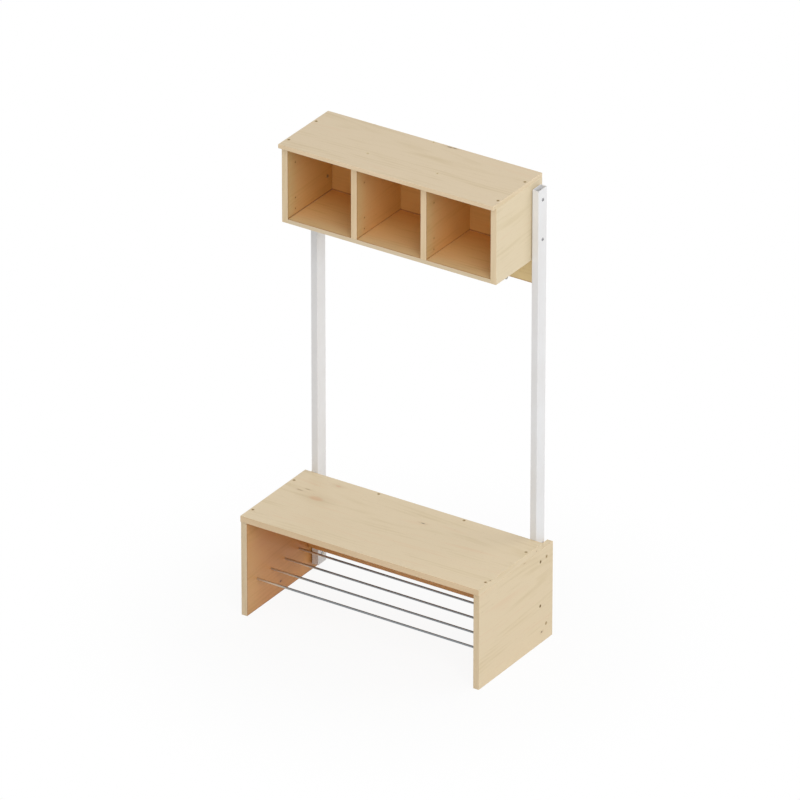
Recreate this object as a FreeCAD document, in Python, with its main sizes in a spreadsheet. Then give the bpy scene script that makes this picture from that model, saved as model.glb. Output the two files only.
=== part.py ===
import FreeCAD, Part
import Sketcher
import os
import re

# Cloakroom bench with shoe rods, two steel uprights and a box shelf over coat hooks.
# Millimetres. +Z is up, +Y points to the wall, the front faces -Y.
# The origin lies on the floor, in the middle of the bench's width and of the whole depth.

SIZES = {
    # Bench
    "bench_width": 750,
    "bench_depth": 360,
    "bench_board": 18,
    "seat_height": 300,
    "seat_overhang": 3,
    "panel_height": 203,
    "rods": 4,
    "rod_diameter": 6,
    "rod_height": 91.5,
    "rod_pitch": 67,
    "rod_row_shift": 5,
    "rod_socket": 10,
    "rod_clearance": 0.15,
    # Uprights
    "tube_width": 20,
    "tube_depth": 40,
    "tube_wall": 1.5,
    "tube_round": 1.5,
    "tube_foot": 20,
    "tube_gap": 0.5,
    "tube_below_top": 16,
    "wall_gap": 11.5,
    # Box shelf
    "compartments": 3,
    "compartment_height": 210,
    "shelf_underside": 1122,
    "shelf_depth": 220,
    "shelf_overhang": 17,
    "shelf_board": 18,
    "shelf_floor": 12,
    "shelf_cover": 12,
    "shelf_back": 10,
    "hook_board_drop": 90,
    # Two pairs of small blind holes for a door's hinges, in both walls of each compartment
    "hinge_hole_diameter": 3,
    "hinge_hole_depth": 7,
    "hinge_hole_front": 37,
    "hinge_hole_pitch": 32,
    "hinge_hole_low": 17,
    "hinge_hole_drop": 26,
    # Edges of every board
    "edge_round": 1,
    # Countersunk wood screws with a hexagon socket
    "screw_shank": 5,
    "screw_head": 9,
    "screw_point": 5,
    "screw_socket": 4,
    "screw_socket_depth": 2.2,
    "screw_clearance": 0.1,
    "seat_screw_length": 50,
    "panel_screw_length": 50,
    "cover_screw_length": 40,
    "floor_screw_length": 40,
    "back_screw_length": 35,
    "seat_screw_front": 47,
    "seat_screw_back": 67,
    "seat_panel_spread": 270,
    "panel_screw_inset": 35,
    "cover_screw_front": 38,
    "cover_screw_back": 70,
    "divider_screw_front": 84,
    "floor_screw_inset": 45,
    "back_screw_inset": 40,
    # Dowels between the shelf's floor and its sides
    "dowel_diameter": 6,
    "dowel_length": 24,
    "dowel_in_side": 9,
    "dowel_clearance": 0.1,
    # Through bolts that hold the uprights
    "bolt_diameter": 5,
    "bolt_clearance": 0.25,
    "bolt_socket": 3,
    "bolt_socket_depth": 2,
    "bench_bolt_head": 10,
    "bench_bolt_low": 49,
    "bench_bolt_drop": 32,
    "nut_width": 8,
    "nut_height": 4,
    "shelf_bolt_head": 9.5,
    "shelf_bolt_head_height": 2.75,
    "shelf_bolt_length": 35,
    "shelf_bolt_low": 60,
    "shelf_bolt_drop": 47,
    "sleeve_diameter": 7,
    "sleeve_length": 14,
    "sleeve_head": 10,
    "sleeve_head_height": 1.2,
    "spacer_diameter": 16,
    "spacer_thickness": 2,
    # Double coat hooks
    "hook_plate_width": 20,
    "hook_plate_height": 50,
    "hook_plate": 3,
    "hook_foot": 4,
    "hook_wire": 7,
    "hook_reach": 50,
    "hook_bend": 11,
    "hook_rise": 4,
    "hook_knob": 10,
    "hook_splay": 50,
    "hook_arm_height": 6,
    "hook_screw_top": 10,
    "hook_screw_pitch": 19,
    "hook_screw_shank": 3.5,
    "hook_screw_head": 7,
    "hook_screw_length": 12,
    "hook_screw_point": 3,
    "hook_screw_socket": 2.5,
    "hook_screw_socket_depth": 1.4,
    # How far cuts run past a face
    "overrun": 5,
}

# Levels and half widths that follow from the sizes, as expressions on the sheet
FRONT = "(-(bench_depth - seat_overhang) / 2)"
WALL = f"({FRONT} + bench_depth)"
SEAT_UNDER = "(seat_height - bench_board)"
BENCH_INNER = "(bench_width / 2 - bench_board)"
TUBE_BACK = f"({WALL} - wall_gap)"
TUBE_FRONT = f"({TUBE_BACK} - tube_depth)"
TUBE_MIDDLE = f"({TUBE_BACK} - tube_depth / 2)"
TUBE_OUTER = f"({BENCH_INNER} - spacer_thickness)"
TUBE_INNER = f"({TUBE_OUTER} - tube_width)"
SEAT_BACK = f"({TUBE_FRONT} - tube_gap)"
SEAT_DEPTH = f"({SEAT_BACK} - {FRONT} + seat_overhang)"
PANEL_FRONT = f"({SEAT_BACK} - bench_board)"
PANEL_MIDDLE = f"({SEAT_BACK} - bench_board / 2)"
PANEL_BOTTOM = f"({SEAT_UNDER} - panel_height)"
SHELF_OUTER = f"({TUBE_INNER} - spacer_thickness)"
SHELF_INNER = f"({SHELF_OUTER} - shelf_board)"
SHELF_FRONT = f"({WALL} - shelf_depth)"
SHELF_DEEP = "(shelf_depth - shelf_back)"
SHELF_SIDE_HEIGHT = "(shelf_floor + compartment_height)"
SHELF_TOP = f"(shelf_underside + {SHELF_SIDE_HEIGHT})"
COMPARTMENT_WIDTH = f"((2 * {SHELF_INNER} - (compartments - 1) * shelf_board) / compartments)"
BACK_FRONT = f"({WALL} - shelf_back)"
BACK_HEIGHT = f"(hook_board_drop + {SHELF_SIDE_HEIGHT})"
TUBE_TOP = f"({SHELF_TOP} - tube_below_top)"
BENCH_BOLT_HEIGHTS = ["bench_bolt_low", f"({SEAT_UNDER} - bench_bolt_drop)"]
SHELF_BOLT_RISES = ["shelf_bolt_low", f"({SHELF_SIDE_HEIGHT} - shelf_bolt_drop)"]
HOOK_FOOT = "(shelf_underside - hook_board_drop + hook_foot)"

LEFT = -1
RIGHT = 1
UP = FreeCAD.Rotation()
DOWN = FreeCAD.Rotation(FreeCAD.Vector(1, 0, 0), 180)
TO_FRONT = FreeCAD.Rotation(FreeCAD.Vector(1, 0, 0), 90)
TO_WALL = FreeCAD.Rotation(FreeCAD.Vector(1, 0, 0), -90)
SIDEWAYS = {
    LEFT: FreeCAD.Rotation(FreeCAD.Vector(0, 1, 0), -90),
    RIGHT: FreeCAD.Rotation(FreeCAD.Vector(0, 1, 0), 90),
}
SIDE_NAMES = {LEFT: "left", RIGHT: "right"}

doc = FreeCAD.newDocument("cloakroom_bench")
sheet = doc.addObject("Spreadsheet::Sheet", "sizes")
for row, (word, value) in enumerate(SIZES.items(), start=1):
    sheet.set(f"A{row}", word)
    sheet.set(f"B{row}", str(value))
    sheet.setAlias(f"B{row}", word)
doc.recompute()


def bind(target, name, text):
    """Ties a property to an expression, in which the sheet's words stand for its cells."""

    def cell(found):
        word = found.group(0)
        return f"sizes.{word}" if word in SIZES else word

    target.setExpression(name, re.sub(r"[a-z_]+", cell, text))


def place(target, spot, turn=UP):
    """Puts an object's own origin at a spot given by three expressions."""
    target.Placement = FreeCAD.Placement(FreeCAD.Vector(), turn)
    for axis, text in zip("xyz", spot):
        bind(target, f"Placement.Base.{axis}", text)


# Boards and tubes: bodies with sketches on their own origin planes

def new_body(name, spot):
    body = doc.addObject("PartDesign::Body", name)
    body.Label = name
    place(body, spot)
    return body


def new_sketch(body, name, plane, level="0"):
    """Sketch on one of the body's origin planes, lifted to a level along the body's axis."""
    sketch = body.newObject("Sketcher::SketchObject", name)
    for feature in body.Origin.OriginFeatures:
        if feature.Role == plane:
            sketch.AttachmentSupport = (feature, [""])
    sketch.MapMode = "FlatFace"
    facing = "-" if plane == "XZ_Plane" else ""
    bind(sketch, "AttachmentOffset.Base.z", f"{facing}({level})")
    return sketch


def draw_rectangle(sketch, across, high, inset="0"):
    corners = [(0, 0), (1, 0), (1, 1), (0, 1)]
    for start, end in zip(corners, corners[1:] + corners[:1]):
        line = Part.LineSegment(FreeCAD.Vector(*start, 0), FreeCAD.Vector(*end, 0))
        sketch.addGeometry(line)
    for line in range(4):
        sketch.addConstraint(Sketcher.Constraint("Coincident", line, 2, (line + 1) % 4, 1))
    for line, direction in enumerate(["Horizontal", "Vertical", "Horizontal", "Vertical"]):
        sketch.addConstraint(Sketcher.Constraint(direction, line))
    for kind in ("DistanceX", "DistanceY"):
        index = sketch.addConstraint(Sketcher.Constraint(kind, -1, 1, 0, 1, 0))
        bind(sketch, f"Constraints[{index}]", inset)
    for line, kind, text in [(0, "DistanceX", across), (1, "DistanceY", high)]:
        index = sketch.addConstraint(Sketcher.Constraint(kind, line, 1, line, 2, 1))
        bind(sketch, f"Constraints[{index}]", text)


def draw_circles(sketch, spots, diameter):
    for across, high in spots:
        circle = Part.Circle(FreeCAD.Vector(1, 1, 0), FreeCAD.Vector(0, 0, 1), 1)
        shape = sketch.addGeometry(circle)
        for kind, text in [("DistanceX", across), ("DistanceY", high)]:
            index = sketch.addConstraint(Sketcher.Constraint(kind, -1, 1, shape, 3, 1))
            bind(sketch, f"Constraints[{index}]", text)
        index = sketch.addConstraint(Sketcher.Constraint("Diameter", shape, 1))
        bind(sketch, f"Constraints[{index}]", diameter)


def pad_board(body, plane, across, high, thickness):
    """Board with its lowest corner at the body's origin and a small round on every edge."""
    sketch = new_sketch(body, body.Name + "_face", plane)
    draw_rectangle(sketch, across, high)
    pad = body.newObject("PartDesign::Pad", body.Name + "_pad")
    pad.Profile = sketch
    pad.Reversed = plane == "XZ_Plane"
    bind(pad, "Length", thickness)
    doc.recompute()
    edges = body.newObject("PartDesign::Fillet", body.Name + "_edges")
    edges.Base = (pad, ["Edge1"])
    edges.UseAllEdges = True
    bind(edges, "Radius", "edge_round")
    doc.recompute()


def drill(body, name, plane, level, onward, spots, diameter, depth):
    """Round holes square to a plane, from a level along its axis; onward drills to higher values."""
    sketch = new_sketch(body, f"{body.Name}_{name}_marks", plane, level)
    draw_circles(sketch, spots, diameter)
    pocket = body.newObject("PartDesign::Pocket", f"{body.Name}_{name}")
    pocket.Profile = sketch
    pocket.Reversed = onward != (plane == "XZ_Plane")
    bind(pocket, "Length", depth)
    before = body.Shape.Volume
    doc.recompute()
    if not body.Shape.Volume < before:
        raise RuntimeError(f"{pocket.Name} cuts nothing")


def sink(body, name, plane, level, onward, spots, shank, head):
    """Clearance holes through a board with a countersink in the face at the given level."""
    sketch = new_sketch(body, f"{body.Name}_{name}_marks", plane, level)
    draw_circles(sketch, spots, shank)
    before = body.Shape.Volume
    doc.recompute()
    hole = body.newObject("PartDesign::Hole", f"{body.Name}_{name}")
    hole.Profile = sketch
    hole.Reversed = onward != (plane == "XZ_Plane")
    hole.ThreadType = "None"
    hole.DepthType = "ThroughAll"
    hole.HoleCutType = "Countersink"
    hole.HoleCutCustomValues = True
    hole.HoleCutCountersinkAngle = 90
    bind(hole, "Diameter", shank)
    bind(hole, "HoleCutDiameter", head)
    doc.recompute()
    if not body.Shape.Volume < before:
        raise RuntimeError(f"{hole.Name} cuts nothing")


def primitive(kind, name, sizes, spot=("0", "0", "0"), turn=UP):
    solid = doc.addObject(f"Part::{kind}", name)
    for size, text in sizes.items():
        bind(solid, size, text)
    place(solid, spot, turn)
    return solid


def fuse(name, solids):
    union = doc.addObject("Part::MultiFuse", name)
    union.Shapes = solids
    return union


def cut(name, base, tool):
    rest = doc.addObject("Part::Cut", name)
    rest.Base = base
    rest.Tool = tool
    return rest


def hexagon(name, width, depth, level):
    prism = doc.addObject("Part::Prism", name)
    prism.Polygon = 6
    bind(prism, "Circumradius", f"{width} / sqrt(3)")
    bind(prism, "Height", depth)
    place(prism, ("0", "0", level))
    return prism


def group(name, solids):
    """One node that holds a set of identical pieces as separate solids."""
    compound = doc.addObject("Part::Compound", name)
    compound.Label = name
    compound.Links = solids
    return compound


# Fasteners. Each is made with its outer face at its own origin and points to -Z.

def wood_screw(name, spot, turn, length, prefix="screw"):
    shank = f"{prefix}_shank"
    head = f"{prefix}_head"
    point = f"{prefix}_point"
    head_height = f"(({head} - {shank}) / 2)"
    stem_height = f"({length} - {point})"
    stem = primitive("Cylinder", f"{name}_stem", {"Radius": f"{shank} / 2", "Height": stem_height},
                     ("0", "0", f"-{stem_height}"))
    cone = primitive("Cone", f"{name}_cone", {"Radius1": f"{shank} / 2", "Radius2": f"{head} / 2",
                                              "Height": head_height}, ("0", "0", f"-{head_height}"))
    tip = primitive("Cone", f"{name}_tip", {"Radius1": "0", "Radius2": f"{shank} / 2",
                                            "Height": point}, ("0", "0", f"-{length}"))
    socket = hexagon(f"{name}_socket", f"{prefix}_socket", f"({prefix}_socket_depth + overrun)",
                     f"-{prefix}_socket_depth")
    screw = cut(name, fuse(f"{name}_blank", [stem, cone, tip]), socket)
    place(screw, spot, turn)
    return screw


def bench_bolt(name, spot, turn):
    """Countersunk bolt through the bench's side, the spacer and the tube, flush with its nut."""
    length = "(bench_board + spacer_thickness + tube_width + nut_height)"
    head_height = "((bench_bolt_head - bolt_diameter) / 2)"
    stem = primitive("Cylinder", f"{name}_stem", {"Radius": "bolt_diameter / 2", "Height": length},
                     ("0", "0", f"-{length}"))
    cone = primitive("Cone", f"{name}_cone", {"Radius1": "bolt_diameter / 2",
                                              "Radius2": "bench_bolt_head / 2",
                                              "Height": head_height}, ("0", "0", f"-{head_height}"))
    socket = hexagon(f"{name}_socket", "bolt_socket", "(bolt_socket_depth + overrun)",
                     "-bolt_socket_depth")
    bolt = cut(name, fuse(f"{name}_blank", [stem, cone]), socket)
    place(bolt, spot, turn)
    return bolt


def shelf_bolt(name, spot, turn):
    """Button-head bolt. Its origin is where the underside of the head rests."""
    stem = primitive("Cylinder", f"{name}_stem", {"Radius": "bolt_diameter / 2",
                                                  "Height": "shelf_bolt_length"},
                     ("0", "0", "-shelf_bolt_length"))
    rim = primitive("Cylinder", f"{name}_rim", {"Radius": "shelf_bolt_head / 2",
                                                "Height": "shelf_bolt_head_height"})
    dome_radius = "((shelf_bolt_head ^ 2 / 4 + shelf_bolt_head_height ^ 2) / 2 / shelf_bolt_head_height)"
    ball = primitive("Sphere", f"{name}_ball", {"Radius": dome_radius},
                     ("0", "0", f"shelf_bolt_head_height - {dome_radius}"))
    crown = doc.addObject("Part::MultiCommon", f"{name}_crown")
    crown.Shapes = [rim, ball]
    socket = hexagon(f"{name}_socket", "bolt_socket", "(bolt_socket_depth + overrun)",
                     "(shelf_bolt_head_height - bolt_socket_depth)")
    bolt = cut(name, fuse(f"{name}_blank", [stem, crown]), socket)
    place(bolt, spot, turn)
    return bolt


def hexagon_nut(name, spot, turn):
    """Nut that rests on the tube. Its origin is in the face that rests."""
    blank = hexagon(f"{name}_blank", "nut_width", "nut_height", "0")
    bore = primitive("Cylinder", f"{name}_bore",
                     {"Radius": "bolt_diameter / 2 + screw_clearance",
                      "Height": "nut_height + 2 * overrun"}, ("0", "0", "-overrun"))
    nut = cut(name, blank, bore)
    place(nut, spot, turn)
    return nut


def sleeve_nut(name, spot, turn):
    """Flat-headed sleeve nut sunk in the shelf's side. Its origin is under the head."""
    flange = primitive("Cylinder", f"{name}_flange", {"Radius": "sleeve_head / 2",
                                                      "Height": "sleeve_head_height"})
    sleeve = primitive("Cylinder", f"{name}_sleeve", {"Radius": "sleeve_diameter / 2",
                                                      "Height": "sleeve_length"},
                       ("0", "0", "-sleeve_length"))
    bore = primitive("Cylinder", f"{name}_bore",
                     {"Radius": "bolt_diameter / 2 + screw_clearance",
                      "Height": "sleeve_length + sleeve_head_height + 2 * overrun"},
                     ("0", "0", "-(sleeve_length + overrun)"))
    nut = cut(name, fuse(f"{name}_blank", [flange, sleeve]), bore)
    place(nut, spot, turn)
    return nut


def spacer(name, spot, turn):
    disc = primitive("Cylinder", f"{name}_disc", {"Radius": "spacer_diameter / 2",
                                                  "Height": "spacer_thickness"})
    bore = primitive("Cylinder", f"{name}_bore",
                     {"Radius": "bolt_diameter / 2 + bolt_clearance",
                      "Height": "spacer_thickness + 2 * overrun"}, ("0", "0", "-overrun"))
    washer = cut(name, disc, bore)
    place(washer, spot, turn)
    return washer


# Hole sizes that go with the fasteners
PILOT = "(screw_shank + 2 * screw_clearance)"
SUNK = "(screw_head + 2 * screw_clearance)"
HOOK_PILOT = "(hook_screw_shank + 2 * screw_clearance)"
BOLT_HOLE = "(bolt_diameter + 2 * bolt_clearance)"
BOLT_SUNK = "(bench_bolt_head + 2 * bolt_clearance)"
SLEEVE_HOLE = "(sleeve_diameter + 2 * screw_clearance)"
DOWEL_HOLE = "(dowel_diameter + 2 * dowel_clearance)"
ROD_HOLE = "(rod_diameter + 2 * rod_clearance)"

rod_count = int(SIZES["rods"])
compartment_count = int(SIZES["compartments"])
rod_row_middle = f"(({FRONT} + {PANEL_FRONT}) / 2 + rod_row_shift)"
rod_depths = [f"({rod_row_middle} + ({index - (rod_count - 1) / 2}) * rod_pitch)"
              for index in range(rod_count)]
divider_middles = [f"(({index} - compartments / 2) * ({COMPARTMENT_WIDTH} + shelf_board))"
                   for index in range(1, compartment_count)]
compartment_middles = [f"(({index} - (compartments - 1) / 2) * ({COMPARTMENT_WIDTH} + shelf_board))"
                       for index in range(compartment_count)]

# Where the screws go, from the front of the seat, of the shelf's cover and of its floor
seat_side_depths = ["seat_screw_front", f"({SEAT_DEPTH} - seat_screw_back)"]
seat_panel_spots = ["-seat_panel_spread / 2", "seat_panel_spread / 2"]
COVER_DEPTH = "(shelf_depth + shelf_overhang)"
cover_side_depths = ["cover_screw_front", f"({COVER_DEPTH} - cover_screw_back)"]
floor_depths = ["floor_screw_inset", f"({SHELF_DEEP} - floor_screw_inset)"]
panel_screw_heights = ["panel_screw_inset", "(panel_height - panel_screw_inset)"]
back_screw_heights = ["(hook_board_drop + shelf_floor + back_screw_inset)",
                      f"({BACK_HEIGHT} - back_screw_inset)"]
hinge_hole_rises = ["hinge_hole_low", "(hinge_hole_low + hinge_hole_pitch)",
                    "(compartment_height - hinge_hole_drop - hinge_hole_pitch)",
                    "(compartment_height - hinge_hole_drop)"]
hook_screw_heights = ["(hook_plate_height - hook_screw_top)",
                      "(hook_plate_height - hook_screw_top - hook_screw_pitch)"]


def bench_seat():
    body = new_body("bench_top", ("-bench_width / 2", f"{FRONT} - seat_overhang", SEAT_UNDER))
    pad_board(body, "XY_Plane", "bench_width", SEAT_DEPTH, "bench_board")
    spots = [(across, deep) for across in ("bench_board / 2", "bench_width - bench_board / 2")
             for deep in seat_side_depths]
    spots += [(f"bench_width / 2 + {across}", f"{SEAT_DEPTH} - bench_board / 2")
              for across in seat_panel_spots]
    sink(body, "screw_seats", "XY_Plane", "bench_board", False, spots, PILOT, SUNK)
    return body


def bench_side(hand):
    """One of the two boards that carry the seat, from the floor to its underside."""
    outer = "0" if hand == LEFT else "bench_board"
    inner = "bench_board" if hand == LEFT else "0"
    name = f"bench_side_{SIDE_NAMES[hand]}"
    start = "-bench_width / 2" if hand == LEFT else BENCH_INNER
    body = new_body(name, (start, FRONT, "0"))
    pad_board(body, "YZ_Plane", "bench_depth", SEAT_UNDER, "bench_board")
    outward = hand == LEFT
    panel_spots = [(f"{PANEL_MIDDLE} - {FRONT}", f"{PANEL_BOTTOM} + {height}")
                   for height in panel_screw_heights]
    sink(body, "panel_screw_seats", "YZ_Plane", outer, outward, panel_spots, PILOT, SUNK)
    bolt_spots = [(f"{TUBE_MIDDLE} - {FRONT}", height) for height in BENCH_BOLT_HEIGHTS]
    sink(body, "bolt_seats", "YZ_Plane", outer, outward, bolt_spots, BOLT_HOLE, BOLT_SUNK)
    rod_spots = [(f"{depth} - {FRONT}", "rod_height") for depth in rod_depths]
    drill(body, "rod_sockets", "YZ_Plane", inner, not outward, rod_spots, ROD_HOLE, "rod_socket")
    seat_spots = [("bench_board / 2", f"{deep} - seat_overhang") for deep in seat_side_depths]
    drill(body, "seat_pilots", "XY_Plane", SEAT_UNDER, False, seat_spots, PILOT,
          "seat_screw_length - bench_board + screw_clearance")
    return body


def bench_panel():
    """Back board of the bench, under the seat's back edge and clear of the floor."""
    body = new_body("bench_back_panel", (f"-{BENCH_INNER}", PANEL_FRONT, PANEL_BOTTOM))
    pad_board(body, "XZ_Plane", f"2 * {BENCH_INNER}", "panel_height", "bench_board")
    end_spots = [("bench_board / 2", height) for height in panel_screw_heights]
    end_depth = "panel_screw_length - bench_board + screw_clearance"
    drill(body, "left_pilots", "YZ_Plane", "0", True, end_spots, PILOT, end_depth)
    drill(body, "right_pilots", "YZ_Plane", f"2 * {BENCH_INNER}", False, end_spots, PILOT, end_depth)
    seat_spots = [(f"{BENCH_INNER} + {across}", "bench_board / 2") for across in seat_panel_spots]
    drill(body, "seat_pilots", "XY_Plane", "panel_height", False, seat_spots, PILOT,
          "seat_screw_length - bench_board + screw_clearance")
    return body


def shoe_rod(index):
    """Steel rod with both ends in blind sockets of the bench's sides."""
    name = f"shoe_rod_{index + 1}"
    half = f"({BENCH_INNER} + rod_socket - rod_clearance)"
    rod = primitive("Cylinder", name, {"Radius": "rod_diameter / 2", "Height": f"2 * {half}"},
                    (f"-{half}", rod_depths[index], "rod_height"),
                    SIDEWAYS[RIGHT])
    rod.Label = name
    return rod


def upright(hand):
    """Rectangular steel tube with rounded corners, open at both ends."""
    name = f"upright_{SIDE_NAMES[hand]}"
    start = f"-{TUBE_OUTER}" if hand == LEFT else TUBE_INNER
    body = new_body(name, (start, TUBE_FRONT, "tube_foot"))
    height = f"({TUBE_TOP} - tube_foot)"
    sketch = new_sketch(body, name + "_outline", "XY_Plane")
    draw_rectangle(sketch, "tube_width", "tube_depth")
    pad = body.newObject("PartDesign::Pad", name + "_bar")
    pad.Profile = sketch
    bind(pad, "Length", height)
    round_tube_corners(body, pad, name + "_corners")
    hollow = new_sketch(body, name + "_hollow", "XY_Plane", f"{height} + overrun")
    draw_rectangle(hollow, "tube_width - 2 * tube_wall", "tube_depth - 2 * tube_wall", "tube_wall")
    bore = body.newObject("PartDesign::Pocket", name + "_bore")
    bore.Profile = hollow
    bind(bore, "Length", f"{height} + 2 * overrun")
    doc.recompute()
    spots = [("tube_depth / 2", f"{level} - tube_foot") for level in BENCH_BOLT_HEIGHTS]
    spots += [("tube_depth / 2", f"shelf_underside + {rise} - tube_foot") for rise in SHELF_BOLT_RISES]
    drill(body, "bolt_holes", "YZ_Plane", "-overrun", True, spots, BOLT_HOLE,
          "tube_width + 2 * overrun")
    return body


def round_tube_corners(body, base, name):
    """Rounds the edges that run along the tube."""
    doc.recompute()
    uprights = []
    for number, edge in enumerate(base.Shape.Edges, start=1):
        first, last = edge.Vertexes[0].Point, edge.Vertexes[-1].Point
        if abs(last.z - first.z) > abs(last.x - first.x) + abs(last.y - first.y):
            uprights.append(f"Edge{number}")
    corners = body.newObject("PartDesign::Fillet", name)
    corners.Base = (base, uprights)
    bind(corners, "Radius", "tube_round")
    doc.recompute()


def drill_hinge_holes(body, compartment_floor, hand):
    """Pilot holes for a door's hinges, in the face that looks to the given hand. They stay empty."""
    face = "0" if hand == LEFT else "shelf_board"
    spots = [("hinge_hole_front", f"{compartment_floor} + {rise}") for rise in hinge_hole_rises]
    drill(body, f"{SIDE_NAMES[hand]}_hinge_holes", "YZ_Plane", face, hand == LEFT, spots,
          "hinge_hole_diameter", "hinge_hole_depth")


def shelf_side(hand):
    inner = "shelf_board" if hand == LEFT else "0"
    name = f"shelf_side_{SIDE_NAMES[hand]}"
    start = f"-{SHELF_OUTER}" if hand == LEFT else SHELF_INNER
    body = new_body(name, (start, SHELF_FRONT, "shelf_underside"))
    pad_board(body, "YZ_Plane", "shelf_depth", SHELF_SIDE_HEIGHT, "shelf_board")
    bolt_spots = [(f"{TUBE_MIDDLE} - {SHELF_FRONT}", rise) for rise in SHELF_BOLT_RISES]
    drill(body, "bolt_holes", "YZ_Plane", "-overrun", True, bolt_spots, SLEEVE_HOLE,
          "shelf_board + 2 * overrun")
    dowel_spots = [(deep, "shelf_floor / 2") for deep in floor_depths]
    drill(body, "dowel_holes", "YZ_Plane", inner, hand == RIGHT, dowel_spots, DOWEL_HOLE,
          "dowel_in_side + dowel_clearance")
    cover_spots = [("shelf_board / 2", f"{deep} - shelf_overhang") for deep in cover_side_depths]
    drill(body, "cover_pilots", "XY_Plane", SHELF_SIDE_HEIGHT, False, cover_spots, PILOT,
          "cover_screw_length - shelf_cover + screw_clearance")
    drill_hinge_holes(body, "shelf_floor", RIGHT if hand == LEFT else LEFT)
    return body


def shelf_floor():
    body = new_body("shelf_bottom", (f"-{SHELF_INNER}", SHELF_FRONT, "shelf_underside"))
    pad_board(body, "XY_Plane", f"2 * {SHELF_INNER}", SHELF_DEEP, "shelf_floor")
    divider_spots = [(f"{SHELF_INNER} + {middle}", deep) for middle in divider_middles
                     for deep in floor_depths]
    sink(body, "divider_screw_seats", "XY_Plane", "0", True, divider_spots, PILOT, SUNK)
    end_spots = [(deep, "shelf_floor / 2") for deep in floor_depths]
    end_depth = "dowel_length - dowel_in_side + dowel_clearance"
    drill(body, "left_dowels", "YZ_Plane", "0", True, end_spots, DOWEL_HOLE, end_depth)
    drill(body, "right_dowels", "YZ_Plane", f"2 * {SHELF_INNER}", False, end_spots, DOWEL_HOLE, end_depth)
    back_spots = [(f"{SHELF_INNER} + {middle}", "shelf_floor / 2") for middle in compartment_middles]
    drill(body, "back_pilots", "XZ_Plane", SHELF_DEEP, False, back_spots, PILOT,
          "back_screw_length - shelf_back + screw_clearance")
    return body


def shelf_cover():
    body = new_body("shelf_top", (f"-{SHELF_OUTER}", f"{SHELF_FRONT} - shelf_overhang", SHELF_TOP))
    pad_board(body, "XY_Plane", f"2 * {SHELF_OUTER}", COVER_DEPTH, "shelf_cover")
    spots = [(across, deep) for across in ("shelf_board / 2", f"2 * {SHELF_OUTER} - shelf_board / 2")
             for deep in cover_side_depths]
    spots += [(f"{SHELF_OUTER} + {middle}", "divider_screw_front") for middle in divider_middles]
    spots += [(SHELF_OUTER, f"{COVER_DEPTH} - shelf_back / 2")]
    sink(body, "screw_seats", "XY_Plane", "shelf_cover", False, spots, PILOT, SUNK)
    return body


def shelf_divider(index):
    name = f"shelf_divider_{index + 1}"
    start = f"{divider_middles[index]} - shelf_board / 2"
    body = new_body(name, (start, SHELF_FRONT, "shelf_underside + shelf_floor"))
    pad_board(body, "YZ_Plane", SHELF_DEEP, "compartment_height", "shelf_board")
    cover_spots = [("shelf_board / 2", "divider_screw_front - shelf_overhang")]
    drill(body, "cover_pilot", "XY_Plane", "compartment_height", False, cover_spots, PILOT,
          "cover_screw_length - shelf_cover + screw_clearance")
    floor_spots = [("shelf_board / 2", deep) for deep in floor_depths]
    drill(body, "floor_pilots", "XY_Plane", "0", True, floor_spots, PILOT,
          "floor_screw_length - shelf_floor + screw_clearance")
    back_spots = [("shelf_board / 2", f"{height} - hook_board_drop - shelf_floor")
                  for height in back_screw_heights]
    drill(body, "back_pilots", "XZ_Plane", SHELF_DEEP, False, back_spots, PILOT,
          "back_screw_length - shelf_back + screw_clearance")
    for hand in (LEFT, RIGHT):
        drill_hinge_holes(body, "0", hand)
    return body


def shelf_back_board():
    """Back of the box, which runs on below it and carries the coat hooks."""
    body = new_body("shelf_back_panel",
                    (f"-{SHELF_INNER}", BACK_FRONT, "shelf_underside - hook_board_drop"))
    pad_board(body, "XZ_Plane", f"2 * {SHELF_INNER}", BACK_HEIGHT, "shelf_back")
    spots = [(f"{SHELF_INNER} + {middle}", height) for middle in divider_middles
             for height in back_screw_heights]
    spots += [(f"{SHELF_INNER} + {middle}", "hook_board_drop + shelf_floor / 2")
              for middle in compartment_middles]
    sink(body, "screw_seats", "XZ_Plane", "shelf_back", False, spots, PILOT, SUNK)
    hook_spots = [(f"{SHELF_INNER} + {middle}", f"hook_foot + {height}")
                  for middle in compartment_middles for height in hook_screw_heights]
    drill(body, "hook_pilots", "XZ_Plane", "-overrun", True, hook_spots, HOOK_PILOT,
          "shelf_back + 2 * overrun")
    cover_spots = [(SHELF_INNER, "shelf_back / 2")]
    drill(body, "cover_pilot", "XY_Plane", BACK_HEIGHT, False, cover_spots, PILOT,
          "cover_screw_length - shelf_cover + screw_clearance")
    return body


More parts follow.
